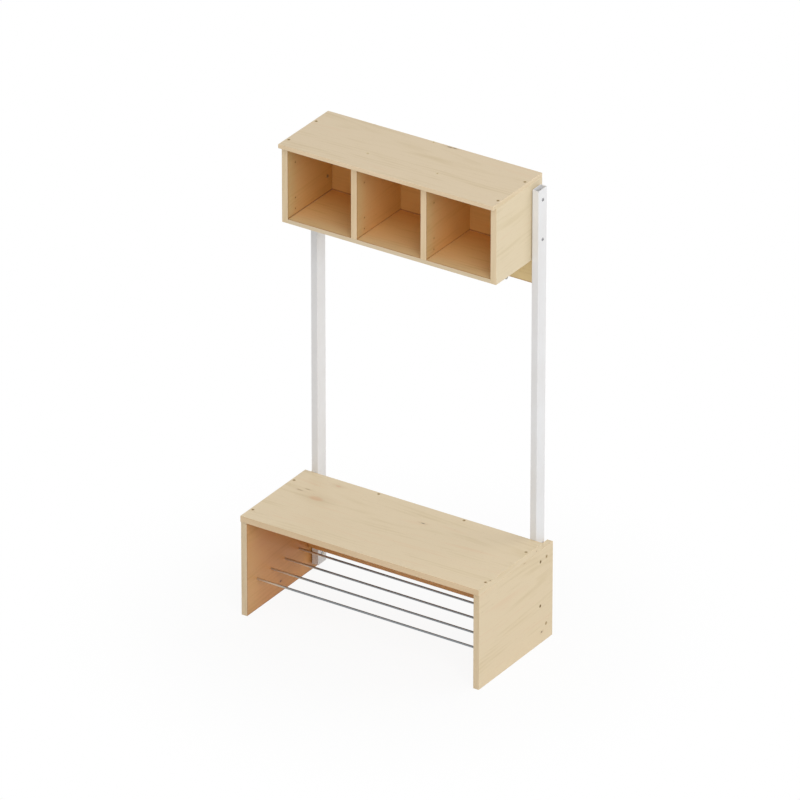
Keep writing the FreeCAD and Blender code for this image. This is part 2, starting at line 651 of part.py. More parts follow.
def hook_arm(name, hand):
    """Round arm that leaves the plate at an angle and turns up into a knob."""
    run = "(hook_reach - hook_bend)"
    along = FreeCAD.Rotation(FreeCAD.Vector(0, 1, 0), 90)
    quarter = FreeCAD.Rotation(FreeCAD.Vector(0, 0, -1), FreeCAD.Vector(1, 0, 0),
                               FreeCAD.Vector(0, -1, 0), "XYZ")
    out = primitive("Cylinder", f"{name}_run", {"Radius": "hook_wire / 2", "Height": run}, turn=along)
    bend = primitive("Torus", f"{name}_bend", {"Radius1": "hook_bend", "Radius2": "hook_wire / 2"},
                     (run, "0", "hook_bend"), quarter)
    bend.Angle3 = 90
    rise = primitive("Cylinder", f"{name}_rise", {"Radius": "hook_wire / 2", "Height": "hook_rise"},
                     ("hook_reach", "0", "hook_bend"))
    knob = primitive("Sphere", f"{name}_knob", {"Radius": "hook_knob / 2"},
                     ("hook_reach", "0", "hook_bend + hook_rise"))
    arm = fuse(name, [out, bend, rise, knob])
    place(arm, ("0", "0", "hook_arm_height"))
    bind(arm, "Placement.Rotation.Angle", f"90 - {hand} * hook_splay")
    arm.Placement.Rotation.Axis = FreeCAD.Vector(0, 0, -1)
    return arm


def coat_hook(index):
    """Cast double hook: a plate with two countersunk holes and two arms."""
    name = f"coat_hook_{index + 1}"
    plate = primitive("Box", f"{name}_plate", {"Length": "hook_plate_width", "Width": "hook_plate",
                                               "Height": "hook_plate_height - hook_plate_width"},
                      ("-hook_plate_width / 2", "0", "hook_plate_width / 2"))
    ends = [primitive("Cylinder", f"{name}_{word}", {"Radius": "hook_plate_width / 2",
                                                     "Height": "hook_plate"}, ("0", "0", level), TO_WALL)
            for word, level in (("foot", "hook_plate_width / 2"),
                                ("head", "(hook_plate_height - hook_plate_width / 2)"))]
    arms = [hook_arm(f"{name}_{SIDE_NAMES[hand]}_arm", hand) for hand in (LEFT, RIGHT)]
    holes = []
    for number, height in enumerate(hook_screw_heights):
        holes.append(primitive("Cylinder", f"{name}_hole_{number}",
                               {"Radius": f"{HOOK_PILOT} / 2", "Height": "hook_plate + 2 * overrun"},
                               ("0", "-overrun", height), TO_WALL))
        sunk = "(hook_screw_head / 2 + screw_clearance)"
        holes.append(primitive("Cone", f"{name}_sunk_{number}",
                               {"Radius1": sunk, "Radius2": "0", "Height": sunk},
                               ("0", "0", height), TO_WALL))
    hook = cut(name, fuse(f"{name}_casting", [plate] + ends + arms), fuse(f"{name}_holes", holes))
    hook.Label = name
    place(hook, (compartment_middles[index], f"{BACK_FRONT} - hook_plate", HOOK_FOOT))
    return hook


def seat_screws():
    screws = []
    for hand in (LEFT, RIGHT):
        for number, deep in enumerate(seat_side_depths):
            spot = (f"{hand} * (bench_width - bench_board) / 2", f"{FRONT} - seat_overhang + {deep}",
                    "seat_height")
            screws.append(wood_screw(f"seat_screw_{SIDE_NAMES[hand]}_{number}", spot, UP,
                                     "seat_screw_length"))
    for number, across in enumerate(seat_panel_spots):
        spot = (across, PANEL_MIDDLE, "seat_height")
        screws.append(wood_screw(f"seat_screw_back_{number}", spot, UP, "seat_screw_length"))
    return group("bench_top_screws", screws)


def panel_screws():
    screws = []
    for hand in (LEFT, RIGHT):
        for number, height in enumerate(panel_screw_heights):
            spot = (f"{hand} * bench_width / 2", PANEL_MIDDLE, f"{PANEL_BOTTOM} + {height}")
            screws.append(wood_screw(f"panel_screw_{SIDE_NAMES[hand]}_{number}", spot,
                                     SIDEWAYS[hand], "panel_screw_length"))
    return group("bench_panel_screws", screws)


def cover_screws():
    screws = []
    top = f"{SHELF_TOP} + shelf_cover"
    for hand in (LEFT, RIGHT):
        for number, deep in enumerate(cover_side_depths):
            spot = (f"{hand} * ({SHELF_OUTER} - shelf_board / 2)",
                    f"{SHELF_FRONT} - shelf_overhang + {deep}", top)
            screws.append(wood_screw(f"cover_screw_{SIDE_NAMES[hand]}_{number}", spot, UP,
                                     "cover_screw_length"))
    for number, middle in enumerate(divider_middles):
        spot = (middle, f"{SHELF_FRONT} - shelf_overhang + divider_screw_front", top)
        screws.append(wood_screw(f"cover_screw_divider_{number}", spot, UP, "cover_screw_length"))
    spot = ("0", f"{WALL} - shelf_back / 2", top)
    screws.append(wood_screw("cover_screw_back", spot, UP, "cover_screw_length"))
    return group("shelf_top_screws", screws)


def floor_screws():
    screws = []
    for column, middle in enumerate(divider_middles):
        for number, deep in enumerate(floor_depths):
            spot = (middle, f"{SHELF_FRONT} + {deep}", "shelf_underside")
            screws.append(wood_screw(f"floor_screw_{column}_{number}", spot, DOWN,
                                     "floor_screw_length"))
    return group("shelf_divider_screws", screws)


def back_screws():
    screws = []
    foot = "(shelf_underside - hook_board_drop)"
    for column, middle in enumerate(divider_middles):
        for number, height in enumerate(back_screw_heights):
            spot = (middle, WALL, f"{foot} + {height}")
            screws.append(wood_screw(f"back_screw_{column}_{number}", spot, TO_WALL,
                                     "back_screw_length"))
    for column, middle in enumerate(compartment_middles):
        spot = (middle, WALL, "shelf_underside + shelf_floor / 2")
        screws.append(wood_screw(f"back_screw_floor_{column}", spot, TO_WALL, "back_screw_length"))
    return group("shelf_back_screws", screws)


def hook_screws():
    screws = []
    for column, middle in enumerate(compartment_middles):
        for number, height in enumerate(hook_screw_heights):
            spot = (middle, f"{BACK_FRONT} - hook_plate", f"{HOOK_FOOT} + {height}")
            screws.append(wood_screw(f"hook_screw_{column}_{number}", spot, TO_FRONT,
                                     "hook_screw_length", "hook_screw"))
    return group("coat_hook_screws", screws)


def floor_dowels():
    dowels = []
    for hand in (LEFT, RIGHT):
        for number, deep in enumerate(floor_depths):
            inner_end = f"{hand} * ({SHELF_INNER} + dowel_in_side)"
            spot = (inner_end, f"{SHELF_FRONT} + {deep}", "shelf_underside + shelf_floor / 2")
            dowels.append(primitive("Cylinder", f"dowel_{SIDE_NAMES[hand]}_{number}",
                                    {"Radius": "dowel_diameter / 2", "Height": "dowel_length"},
                                    spot, SIDEWAYS[-hand]))
    return group("shelf_dowels", dowels)


def frame_fasteners():
    """Bolts, nuts and spacers that join the uprights to the bench and to the shelf."""
    bench_bolts, nuts, bench_spacers = [], [], []
    shelf_bolts, sleeves, shelf_spacers = [], [], []
    for hand in (LEFT, RIGHT):
        for number, height in enumerate(BENCH_BOLT_HEIGHTS):
            tag = f"{SIDE_NAMES[hand]}_{number}"
            bench_bolts.append(bench_bolt(f"bench_bolt_{tag}", (f"{hand} * bench_width / 2",
                                                                TUBE_MIDDLE, height), SIDEWAYS[hand]))
            nuts.append(hexagon_nut(f"bench_nut_{tag}", (f"{hand} * {TUBE_INNER}", TUBE_MIDDLE,
                                                         height), SIDEWAYS[-hand]))
            bench_spacers.append(spacer(f"bench_spacer_{tag}", (f"{hand} * {TUBE_OUTER}", TUBE_MIDDLE,
                                                                height), SIDEWAYS[hand]))
        for number, rise in enumerate(SHELF_BOLT_RISES):
            tag = f"{SIDE_NAMES[hand]}_{number}"
            height = f"shelf_underside + {rise}"
            shelf_bolts.append(shelf_bolt(f"shelf_bolt_{tag}", (f"{hand} * {TUBE_OUTER}", TUBE_MIDDLE,
                                                                height), SIDEWAYS[hand]))
            sleeves.append(sleeve_nut(f"shelf_nut_{tag}", (f"{hand} * {SHELF_INNER}", TUBE_MIDDLE,
                                                           height), SIDEWAYS[-hand]))
            shelf_spacers.append(spacer(f"shelf_spacer_{tag}", (f"{hand} * {SHELF_OUTER}", TUBE_MIDDLE,
                                                                height), SIDEWAYS[hand]))
    return [
        group("bench_frame_bolts", bench_bolts),
        group("bench_frame_nuts", nuts),
        group("bench_frame_spacers", bench_spacers),
        group("shelf_frame_bolts", shelf_bolts),
        group("shelf_sleeve_nuts", sleeves),
        group("shelf_frame_spacers", shelf_spacers),
    ]


nodes = [bench_seat(), bench_side(LEFT), bench_side(RIGHT), bench_panel()]
nodes += [shoe_rod(index) for index in range(rod_count)]
nodes += [upright(LEFT), upright(RIGHT)]
nodes += [shelf_cover(), shelf_floor(), shelf_side(LEFT), shelf_side(RIGHT)]
nodes += [shelf_divider(index) for index in range(compartment_count - 1)]
nodes += [shelf_back_board()]
nodes += [coat_hook(index) for index in range(compartment_count)]
nodes += [seat_screws(), panel_screws(), cover_screws(), floor_screws(), back_screws(), hook_screws()]
nodes += [floor_dowels()]
nodes += frame_fasteners()
doc.recompute()

for item in doc.Objects:
    if "Invalid" in item.State or "Error" in item.State:
        raise RuntimeError(f"{item.Name} failed: {item.State}")
for node in nodes:
    if node.Shape.isNull() or not node.Shape.isValid():
        raise RuntimeError(f"{node.Label} has no valid shape")

os.makedirs("parts", exist_ok=True)
for node in nodes:
    node.Shape.exportStep(f"parts/{node.Label}.step")
    print(node.Label, len(node.Shape.Solids), "solids", round(node.Shape.Volume), "mm3")
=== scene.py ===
"""Looks of a cloakroom bench with shoe rods, two steel uprights and a box shelf over coat hooks.

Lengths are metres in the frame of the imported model: +Z is up, +Y points to the wall, the front faces -Y.
"""

import logging
import math
from dataclasses import dataclass, replace
from enum import Enum
from typing import Any, ClassVar

import bpy
from bpy.types import ID, Material, Node, NodeSocket, NodeTree, Object
from mathutils import Matrix, Vector


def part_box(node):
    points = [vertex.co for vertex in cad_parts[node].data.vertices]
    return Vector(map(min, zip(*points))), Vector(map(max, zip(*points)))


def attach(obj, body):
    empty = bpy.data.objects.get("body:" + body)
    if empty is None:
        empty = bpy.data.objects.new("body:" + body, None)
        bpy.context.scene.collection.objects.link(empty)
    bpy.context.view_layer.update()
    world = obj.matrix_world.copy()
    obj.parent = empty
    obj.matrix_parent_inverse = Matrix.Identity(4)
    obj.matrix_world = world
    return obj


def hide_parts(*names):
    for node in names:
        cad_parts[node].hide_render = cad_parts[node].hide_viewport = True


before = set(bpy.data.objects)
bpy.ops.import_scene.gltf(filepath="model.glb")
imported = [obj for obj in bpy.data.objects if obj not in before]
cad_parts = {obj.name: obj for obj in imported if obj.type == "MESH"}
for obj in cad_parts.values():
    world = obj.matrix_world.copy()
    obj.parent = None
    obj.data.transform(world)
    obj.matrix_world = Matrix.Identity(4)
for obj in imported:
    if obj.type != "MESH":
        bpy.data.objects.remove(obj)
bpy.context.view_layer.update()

LOG = logging.getLogger("cloakroom_bench")
MM = 0.001
# Pixels across the picture
IMAGE_SIDE = 800
# How strongly fine marks in a surface bend the light
RELIEF = 0.3

Colour = tuple[float, float, float, float]
# Places along a ramp, from 0 to 1, each with a linear colour
Stops = tuple[tuple[float, Colour], ...]
# Shares of a depth, each with a hex colour of painted bounce light and shade
Tones = tuple[tuple[float, str], ...]


class Axis(Enum):
    """Row axes, by their place in a vector."""

    X = 0
    Y = 1
    Z = 2


class Face(Enum):
    """Faces of a board that carry marks: the axis that each looks along, and whether it is the far one."""

    LEFT = (Axis.X, False)
    RIGHT = (Axis.X, True)
    TOP = (Axis.Z, True)


class Slot(Enum):
    """The record's material slots."""

    MAPLE = "maple_board"
    BEECH = "beech_dowel"
    COAT = "white_powder_coat"
    ROD = "drawn_steel_rod"
    HOOK = "cast_hook_metal"
    FASTENER = "zinc_plated_steel"
    SPACER = "nylon_spacer"


def linear(colour: str) -> Colour:
    """Turns an sRGB hex colour to linear light.

    Args:
        colour: Six hex digits after a hash sign.

    Returns:
        Red, green and blue, with an opacity of 1.
    """
    channels = []
    for start in (1, 3, 5):
        value = int(colour[start:start + 2], 16) / 255
        channels.append(value / 12.92 if value <= 0.04045 else ((value + 0.055) / 1.055) ** 2.4)
    return (channels[0], channels[1], channels[2], 1.0)


def grey(level: float) -> Colour:
    """Returns an opaque linear grey."""
    return (level, level, level, 1.0)


def plug(tree: NodeTree, node: Node, inputs: dict[Any, Any]) -> None:
    """Links or sets a node's inputs.

    Args:
        tree: The node's tree.
        node: The node.
        inputs: Socket name or number to a value, or to another node's output.
    """
    for key, value in inputs.items():
        if isinstance(value, NodeSocket):
            tree.links.new(value, node.inputs[key])
        else:
            node.inputs[key].default_value = value


def add_node(tree: NodeTree, kind: str, inputs: dict[Any, Any], stops: Stops = (), **settings: Any) -> Node:
    """Adds a node with its settings, and links or sets its inputs.

    Args:
        tree: The tree that gets the node.
        kind: Blender's name for the node type, after ShaderNode.
        inputs: Socket name or number to a value, or to another node's output.
        stops: A colour ramp's stops.
        **settings: Properties of the node.

    Returns:
        The new node.
    """
    node = tree.nodes.new(f"ShaderNode{kind}")
    for name, value in settings.items():
        setattr(node, name, value)
    while stops and len(node.color_ramp.elements) < len(stops):
        node.color_ramp.elements.new(0.5)
    for number, (place, colour) in enumerate(stops):
        node.color_ramp.elements[number].position = place
        node.color_ramp.elements[number].color = colour
    plug(tree, node, inputs)
    return node


def new_material(name: str) -> tuple[Material, NodeTree, Node]:
    """Makes an empty node material with a Principled shader.

    Args:
        name: The material's name.

    Returns:
        The material, its tree and its shader node.
    """
    material = bpy.data.materials.new(name)
    material.use_nodes = True
    tree = material.node_tree
    tree.nodes.clear()
    shader = add_node(tree, "BsdfPrincipled", {})
    add_node(tree, "OutputMaterial", {"Surface": shader.outputs["BSDF"]})
    return material, tree, shader


def new_object(name: str, data: ID) -> Object:
    """Adds an object to the scene.

    Args:
        name: Its name.
        data: Its mesh, lamp or camera.

    Returns:
        The object, at the row's origin.
    """
    thing = bpy.data.objects.new(name, data)
    bpy.context.scene.collection.objects.link(thing)
    return thing


def wear(piece: Object, material: Material) -> None:
    """Gives a piece its one material and reports the piece.

    Args:
        piece: The object to dress.
        material: The finish.
    """
    piece.data.materials.clear()
    piece.data.materials.append(material)
    LOG.info("%s wears %s", piece.name, material.name)


@dataclass(frozen=True)
class Room:
    """A space between boards that is open to the front, with painted bounce light and shade at shares of its
    depth.
    """

    low: tuple[float, float, float]
    high: tuple[float, float, float]
    tones: Tones

    @property
    def centre(self) -> tuple[float, ...]:
        """The room's middle."""
        return tuple((a + b) / 2 for a, b in zip(self.low, self.high))

    @property
    def half(self) -> tuple[float, ...]:
        """Half its size along each axis."""
        return tuple((b - a) / 2 for a, b in zip(self.low, self.high))


class Mark(Enum):
    """Kinds of mark on maple: tint, share of it, share in the halo, and how far the grain draws it out."""

    PIN_KNOT = ("#64421F", 0.92, 0.35, 1.6)
    BARK_POCKET = ("#665A43", 0.85, 0.30, 3.6)
    FAINT_STREAK = ("#A3824F", 0.66, 0.18, 4.5)
    BLUSH = ("#D79A6C", 0.34, 0.18, 2.0)
    DRILLED_RIM = ("#5A3A1C", 0.75, 0.25, 1.0)


@dataclass(frozen=True)
class Flaw:
    """One mark on a board: its kind, its face, its place from the face's lowest corner and its half width."""

    kind: Mark
    face: Face
    place: tuple[float, float]
    radius: float

    def centre(self, low: Vector, high: Vector) -> tuple[float, ...]:
        """Works out where the mark lies in the row.

        Args:
            low: The board's lowest corner.
            high: Its highest corner.

        Returns:
            The mark's middle.
        """
        axis, far = self.face.value
        offset = list(self.place)
        offset.insert(axis.value, 0.0)
        spot = low + Vector(offset)
        spot[axis.value] = (high if far else low)[axis.value]
        return tuple(spot)


@dataclass(frozen=True)
class Tone:
    """A board's own colours: the pale, deep and rosy parts of its figure."""

    pale: str = "#E0CCAB"
    deep: str = "#D7C29D"
    rosy: str = "#DFC6A3"
    # Edges that carry a band of their own: the axis they face, and the band's pale and deep tones
    bands: tuple[tuple[Axis, str, str], ...] = ()


@dataclass(frozen=True)
class Maple:
    """European maple boards, planed, sanded and sprayed with a clear matt lacquer.

    Planing along the grain leaves long quiet streaks, and the lacquer evens the gloss, so the eye sees a pale
    cream wood with soft figure, a few pin knots and hardly any shine.
    """

    # Real maple has rings 1 to 3 mm wide and far finer fibres. Both are drawn coarser, so that they show.
    RING_WIDTH: ClassVar[float] = 11 * MM
    # A streak's length, its width and how many finer layers are added
    FIBRE: ClassVar[tuple[float, float, float]] = (70 * MM, 1.6 * MM, 4.0)
    CLOUD: ClassVar[tuple[float, float, float]] = (260 * MM, 38 * MM, 2.0)
    FLECK: ClassVar[tuple[float, float, float]] = (14 * MM, 1.1 * MM, 1.0)
    STREAK_ROUGHNESS: ClassVar[float] = 0.55
    STREAK_DISTORTION: ClassVar[float] = 0.15
    # What rings, clouds and fibres each add to the figure
    RING_SHARE: ClassVar[float] = 0.09
    CLOUD_SHARE: ClassVar[float] = 0.68
    FIBRE_SHARE: ClassVar[float] = 0.23
    # Where the figure is deep, where it is pale from and to, and where it is rosy
    FIGURE_PLACES: ClassVar[tuple[float, ...]] = (0.32, 0.47, 0.56, 0.70)
    # Where an edge band is deep and where it is pale
    BAND_PLACES: ClassVar[tuple[float, ...]] = (0.36, 0.56)
    FLECK_FADE: ClassVar[Stops] = ((0.24, grey(1)), (0.31, grey(0)))
    FLECK_TINT: ClassVar[str] = "#A88A62"
    FLECK_STRENGTH: ClassVar[float] = 0.32
    GLOSS: ClassVar[Stops] = ((0.30, grey(0.50)), (0.75, grey(0.40)))
    IOR: ClassVar[float] = 1.5
    LACQUER: ClassVar[float] = 0.12
    LACQUER_ROUGHNESS: ClassVar[float] = 0.38
    GRAIN_DEPTH: ClassVar[float] = 0.06 * MM
    GRAIN_STRENGTH: ClassVar[float] = 0.25
    # A face looks along an axis where its normal has more than this along it.
    FACING: ClassVar[float] = 0.7
    # How far one step of the seed moves the pattern along, across and through the board
    SEED_SHIFT: ClassVar[tuple[float, float, float]] = (0.37, 0.113, 0.071)
    # How far the rings wander, how often in a metre each way, and how fast they shift along the board
    WANDER: ClassVar[float] = 34 * MM
    WANDER_RATE: ClassVar[tuple[float, float, float]] = (2.6, 9.0, 9.0)
    RING_TAPER: ClassVar[float] = 0.035
    # The pith's place from the board's middle, across the board and behind it
    PITH_ASIDE: ClassVar[float] = 60 * MM
    PITH_DEPTH: ClassVar[float] = 45 * MM
    # How far a face looks into the space before it, to tell an inner face from an outer one
    PROBE: ClassVar[float] = 5 * MM
    # Width of the painted shade along an inner corner, less than the probe's reach
    CORNER_SHADE_WIDTH: ClassVar[float] = 4.5 * MM
    CORNER_SHADE_TINT: ClassVar[str] = "#B98B57"
    # How a mark's eye and its halo fade outwards
    EYE_FADE: ClassVar[Stops] = ((0.45, grey(1)), (0.95, grey(0)))
    HALO_FADE: ClassVar[Stops] = ((0.20, grey(1)), (0.95, grey(0)))
    # The eye's size as a share of the halo's
    EYE_SHARE: ClassVar[float] = 0.35
    HALO_TINT: ClassVar[str] = "#B99A6C"

    name: str
    along: Axis
    across: Axis
    low: Vector
    high: Vector
    seed: int
    rooms: tuple[Room, ...]
    flaws: tuple[Flaw, ...]
    tone: Tone

    @property
    def through(self) -> int:
        """The axis across the board's thickness, by its place in a vector."""
        return ({0, 1, 2} - {self.along.value, self.across.value}).pop()

    def build(self) -> Material:
        """Builds the board's material, with its grain along its length and its edges banded along theirs.

        Returns:
            The material.
        """
        material, tree, shader = new_material(f"{self.name}_lacquered_maple")
        grain = self.grain_space(tree)
        rings = self.rings(tree, grain)
        fibre, cloud, fleck = (self.streaks(tree, grain, kind)
                               for kind in (self.FIBRE, self.CLOUD, self.FLECK))
        figure = add_node(tree, "Math", {0: rings, 1: self.RING_SHARE}, operation="MULTIPLY").outputs[0]
        for source, share in ((cloud, self.CLOUD_SHARE), (fibre, self.FIBRE_SHARE)):
            figure = add_node(tree, "Math", {0: source, 1: share, 2: figure},
                              operation="MULTIPLY_ADD").outputs[0]
        colour = self.lay_tone(tree, figure)
        fleck_mask = add_node(tree, "ValToRGB", {"Fac": fleck}, stops=self.FLECK_FADE)
        colour = self.stain(tree, colour, fleck_mask.outputs[0], self.FLECK_TINT, self.FLECK_STRENGTH)
        for flaw in self.flaws:
            colour = self.draw_flaw(tree, colour, flaw)
        for room in self.rooms:
            colour = self.paint_room_light(tree, colour, room)
        sheen = add_node(tree, "ValToRGB", {"Fac": figure}, stops=self.GLOSS)
        bump = add_node(tree, "Bump", {"Strength": self.GRAIN_STRENGTH,
                                       "Distance": self.GRAIN_DEPTH, "Height": fibre})
        plug(tree, shader, {"Base Color": colour, "Roughness": sheen.outputs[0], "IOR": self.IOR,
                            "Coat Weight": self.LACQUER, "Coat Roughness": self.LACQUER_ROUGHNESS,
                            "Normal": bump.outputs["Normal"]})
        return material

    def lay_tone(self, tree: NodeTree, figure: NodeSocket) -> NodeSocket:
        """Turns the figure to the board's colours, and to its bands' on the edges that have one.

        Args:
            tree: The material's tree.
            figure: The wood's figure.

        Returns:
            The bare wood's colour.
        """
        tone = self.tone
        tints = (linear(tint) for tint in (tone.deep, tone.pale, tone.pale, tone.rosy))
        colour = add_node(tree, "ValToRGB", {"Fac": figure},
                          stops=tuple(zip(self.FIGURE_PLACES, tints))).outputs[0]
        for axis, pale, deep in tone.bands:
            band = add_node(tree, "ValToRGB", {"Fac": figure},
                            stops=tuple(zip(self.BAND_PLACES, (linear(deep), linear(pale)))))
            colour = add_node(tree, "Mix", {"Factor": self.faces(tree, axis), 6: colour,
                                            7: band.outputs[0]}, data_type="RGBA").outputs[2]
        return colour

    def faces(self, tree: NodeTree, axis: Axis) -> NodeSocket:
        """Finds the faces that look along an axis, either way.

        Args:
            tree: The material's tree.
            axis: The axis.

        Returns:
            1 on such a face and 0 elsewhere.
        """
        place = add_node(tree, "TexCoord", {})
        facing = add_node(tree, "SeparateXYZ", {0: place.outputs["Normal"]})
        square = add_node(tree, "Math", {0: facing.outputs[axis.value]}, operation="ABSOLUTE")
        return add_node(tree, "Math", {0: square.outputs[0], 1: self.FACING},
                        operation="GREATER_THAN").outputs[0]

    def grain_space(self, tree: NodeTree) -> NodeSocket:
        """Turns row coordinates to (along, across, through) the board.

        On the two faces that cut the grain, the edge band's own length takes the place of the board's.

        Args:
            tree: The material's tree.

        Returns:
            The vector output.
        """
        place = add_node(tree, "TexCoord", {})
        centre = tuple((self.low + self.high) / 2)
        moved = add_node(tree, "VectorMath", {0: place.outputs["Object"], 1: centre}, operation="SUBTRACT")
        split = add_node(tree, "SeparateXYZ", {0: moved.outputs[0]})
        along, across, through = (split.outputs[axis] for axis in (self.along.value, self.across.value,
                                                                   self.through))
        face = add_node(tree, "CombineXYZ", {0: along, 1: across, 2: through})
        band = add_node(tree, "CombineXYZ", {0: across, 1: through, 2: along})
        space = add_node(tree, "Mix", {"Factor": self.faces(tree, self.along),
                                       4: face.outputs[0], 5: band.outputs[0]},
                         data_type="VECTOR")
        shift = tuple(self.seed * step for step in self.SEED_SHIFT)
        seeded = add_node(tree, "VectorMath", {0: space.outputs[1], 1: shift}, operation="ADD")
        return seeded.outputs[0]

    def streaks(self, tree: NodeTree, grain: NodeSocket, kind: tuple[float, float, float]) -> NodeSocket:
        """Draws noise with cells as long and as wide as one kind of streak.

        Args:
            tree: The material's tree.
            grain: The board's own coordinates.
            kind: A streak's length, its width and how many finer layers are added.

        Returns:
            The noise value, about 0.5 on average.
        """
        length, width, detail = kind
        scaled = add_node(tree, "VectorMath", {0: grain, 1: (1 / length, 1 / width, 1 / width)},
                          operation="MULTIPLY")
        noise = add_node(tree, "TexNoise", {"Vector": scaled.outputs[0], "Scale": 1.0,
                                            "Detail": detail, "Roughness": self.STREAK_ROUGHNESS,
                                            "Distortion": self.STREAK_DISTORTION})
        return noise.outputs["Fac"]

    def rings(self, tree: NodeTree, grain: NodeSocket) -> NodeSocket:
        """Draws growth rings cut lengthwise: soft parallel lines that open to flat arches near the pith.

        Args:
            tree: The material's tree.
            grain: The board's own coordinates.

        Returns:
            A value from 0 to 1.
        """
        wander = add_node(tree, "VectorMath", {0: grain, 1: self.WANDER_RATE}, operation="MULTIPLY")
        wave = add_node(tree, "TexNoise", {"Vector": wander.outputs[0], "Scale": 1.0, "Detail": 2.0})
        split = add_node(tree, "SeparateXYZ", {0: grain})
        _, shift_aside, shift_deep = self.SEED_SHIFT
        aside = add_node(tree, "Math", {0: split.outputs[1], 1: self.seed * shift_aside + self.PITH_ASIDE},
                         operation="SUBTRACT")
        depth = add_node(tree, "Math", {0: split.outputs[2], 1: self.seed * shift_deep - self.PITH_DEPTH},
                         operation="SUBTRACT")
        flat = add_node(tree, "CombineXYZ", {0: aside.outputs[0], 1: depth.outputs[0]})
        radius = add_node(tree, "VectorMath", {0: flat.outputs[0]}, operation="LENGTH")
        tapered = add_node(tree, "Math", {0: split.outputs[0], 1: self.RING_TAPER,
                                          2: radius.outputs["Value"]}, operation="MULTIPLY_ADD")
        bent = add_node(tree, "Math", {0: wave.outputs["Fac"], 1: self.WANDER,
                                       2: tapered.outputs[0]}, operation="MULTIPLY_ADD")
        turns = add_node(tree, "Math", {0: bent.outputs[0], 1: math.tau / self.RING_WIDTH},
                         operation="MULTIPLY")
        line = add_node(tree, "Math", {0: turns.outputs[0]}, operation="SINE")
        soft = add_node(tree, "Math", {0: line.outputs[0], 1: 0.5, 2: 0.5}, operation="MULTIPLY_ADD")
        return soft.outputs[0]

    def stain(self, tree: NodeTree, colour: NodeSocket, mask: NodeSocket, tint: str,
              strength: float) -> NodeSocket:
        """Lays a darker tint over the wood where a mask says so.

        Args:
            tree: The material's tree.
            colour: The wood's colour so far.
            mask: Where the tint lies.
            tint: Its hex colour.
            strength: How much of it shows.

        Returns:
            The new colour.
        """
        amount = add_node(tree, "Math", {0: mask, 1: strength}, operation="MULTIPLY")
        mixed = add_node(tree, "Mix", {"Factor": amount.outputs[0], 6: colour, 7: linear(tint)},
                         data_type="RGBA")
        return mixed.outputs[2]

    def look_into(self, tree: NodeTree, room: Room) -> tuple[NodeSocket, NodeSocket]:
        """Finds the faces that look into a room, by a probe a little way ahead of each face.

        Args:
            tree: The material's tree.
            room: The space between the boards.

        Returns:
            1 on such a face and 0 elsewhere, and how far the probe is past the room's nearest side, which is
            below 0 inside.
        """
        place = add_node(tree, "TexCoord", {})
        ahead = add_node(tree, "VectorMath", {0: place.outputs["Normal"], "Scale": self.PROBE},
                         operation="SCALE")
        probe = add_node(tree, "VectorMath", {0: place.outputs["Object"], 1: ahead.outputs[0]},
                         operation="ADD")
        offset = add_node(tree, "VectorMath", {0: probe.outputs[0], 1: room.centre}, operation="SUBTRACT")
        aside = add_node(tree, "VectorMath", {0: offset.outputs[0]}, operation="ABSOLUTE")
        past = add_node(tree, "VectorMath", {0: aside.outputs[0], 1: room.half}, operation="SUBTRACT")
        split = add_node(tree, "SeparateXYZ", {0: past.outputs[0]})
        widest = split.outputs[0]
        for side in (1, 2):
            widest = add_node(tree, "Math", {0: widest, 1: split.outputs[side]},
                              operation="MAXIMUM").outputs[0]
        inside = add_node(tree, "Math", {0: widest, 1: 0.0}, operation="LESS_THAN")
        return inside.outputs[0], widest

    def paint_room_light(self, tree: NodeTree, colour: NodeSocket, room: Room) -> NodeSocket:
        """Paints bounce light and shade on the faces that look into a room, more so towards its back, and
        paints shade into its corners.

        Light that bounces from board to board picks up the wood's own honey tone each time. The photograph
        shows more of that than so few bounces give, so the wood itself is drawn warmer there.

        Args:
            tree: The material's tree.
            colour: The wood's colour so far.
            room: The space between the boards.

        Returns:
            The new colour.
        """
        inside, past = self.look_into(tree, room)
        place = add_node(tree, "TexCoord", {})
        spot = add_node(tree, "SeparateXYZ", {0: place.outputs["Object"]})
        depth = add_node(tree, "MapRange", {"Value": spot.outputs[Axis.Y.value],
                                            "From Min": room.low[Axis.Y.value],
                                            "From Max": room.high[Axis.Y.value]})
        # Painted bounce light and shade, warmer and deeper with depth into the room
        tone = add_node(tree, "ValToRGB", {"Fac": depth.outputs[0]},
                        stops=tuple((share, linear(tint)) for share, tint in room.tones))
        mixed = add_node(tree, "Mix", {"Factor": inside, 6: colour, 7: tone.outputs[0]},
                         data_type="RGBA", blend_type="MULTIPLY")
        # Painted shade along the room's inner corners, where two boards meet
        corner = add_node(tree, "MapRange", {"Value": past, "From Min": -self.CORNER_SHADE_WIDTH, "From Max": 0.0})
        dark = add_node(tree, "Math", {0: corner.outputs[0], 1: inside}, operation="MULTIPLY")
        corner_shade = add_node(tree, "Mix", {"Factor": dark.outputs[0], 6: mixed.outputs[2],
                                      7: linear(self.CORNER_SHADE_TINT)},
                        data_type="RGBA", blend_type="MULTIPLY")
        return corner_shade.outputs[2]

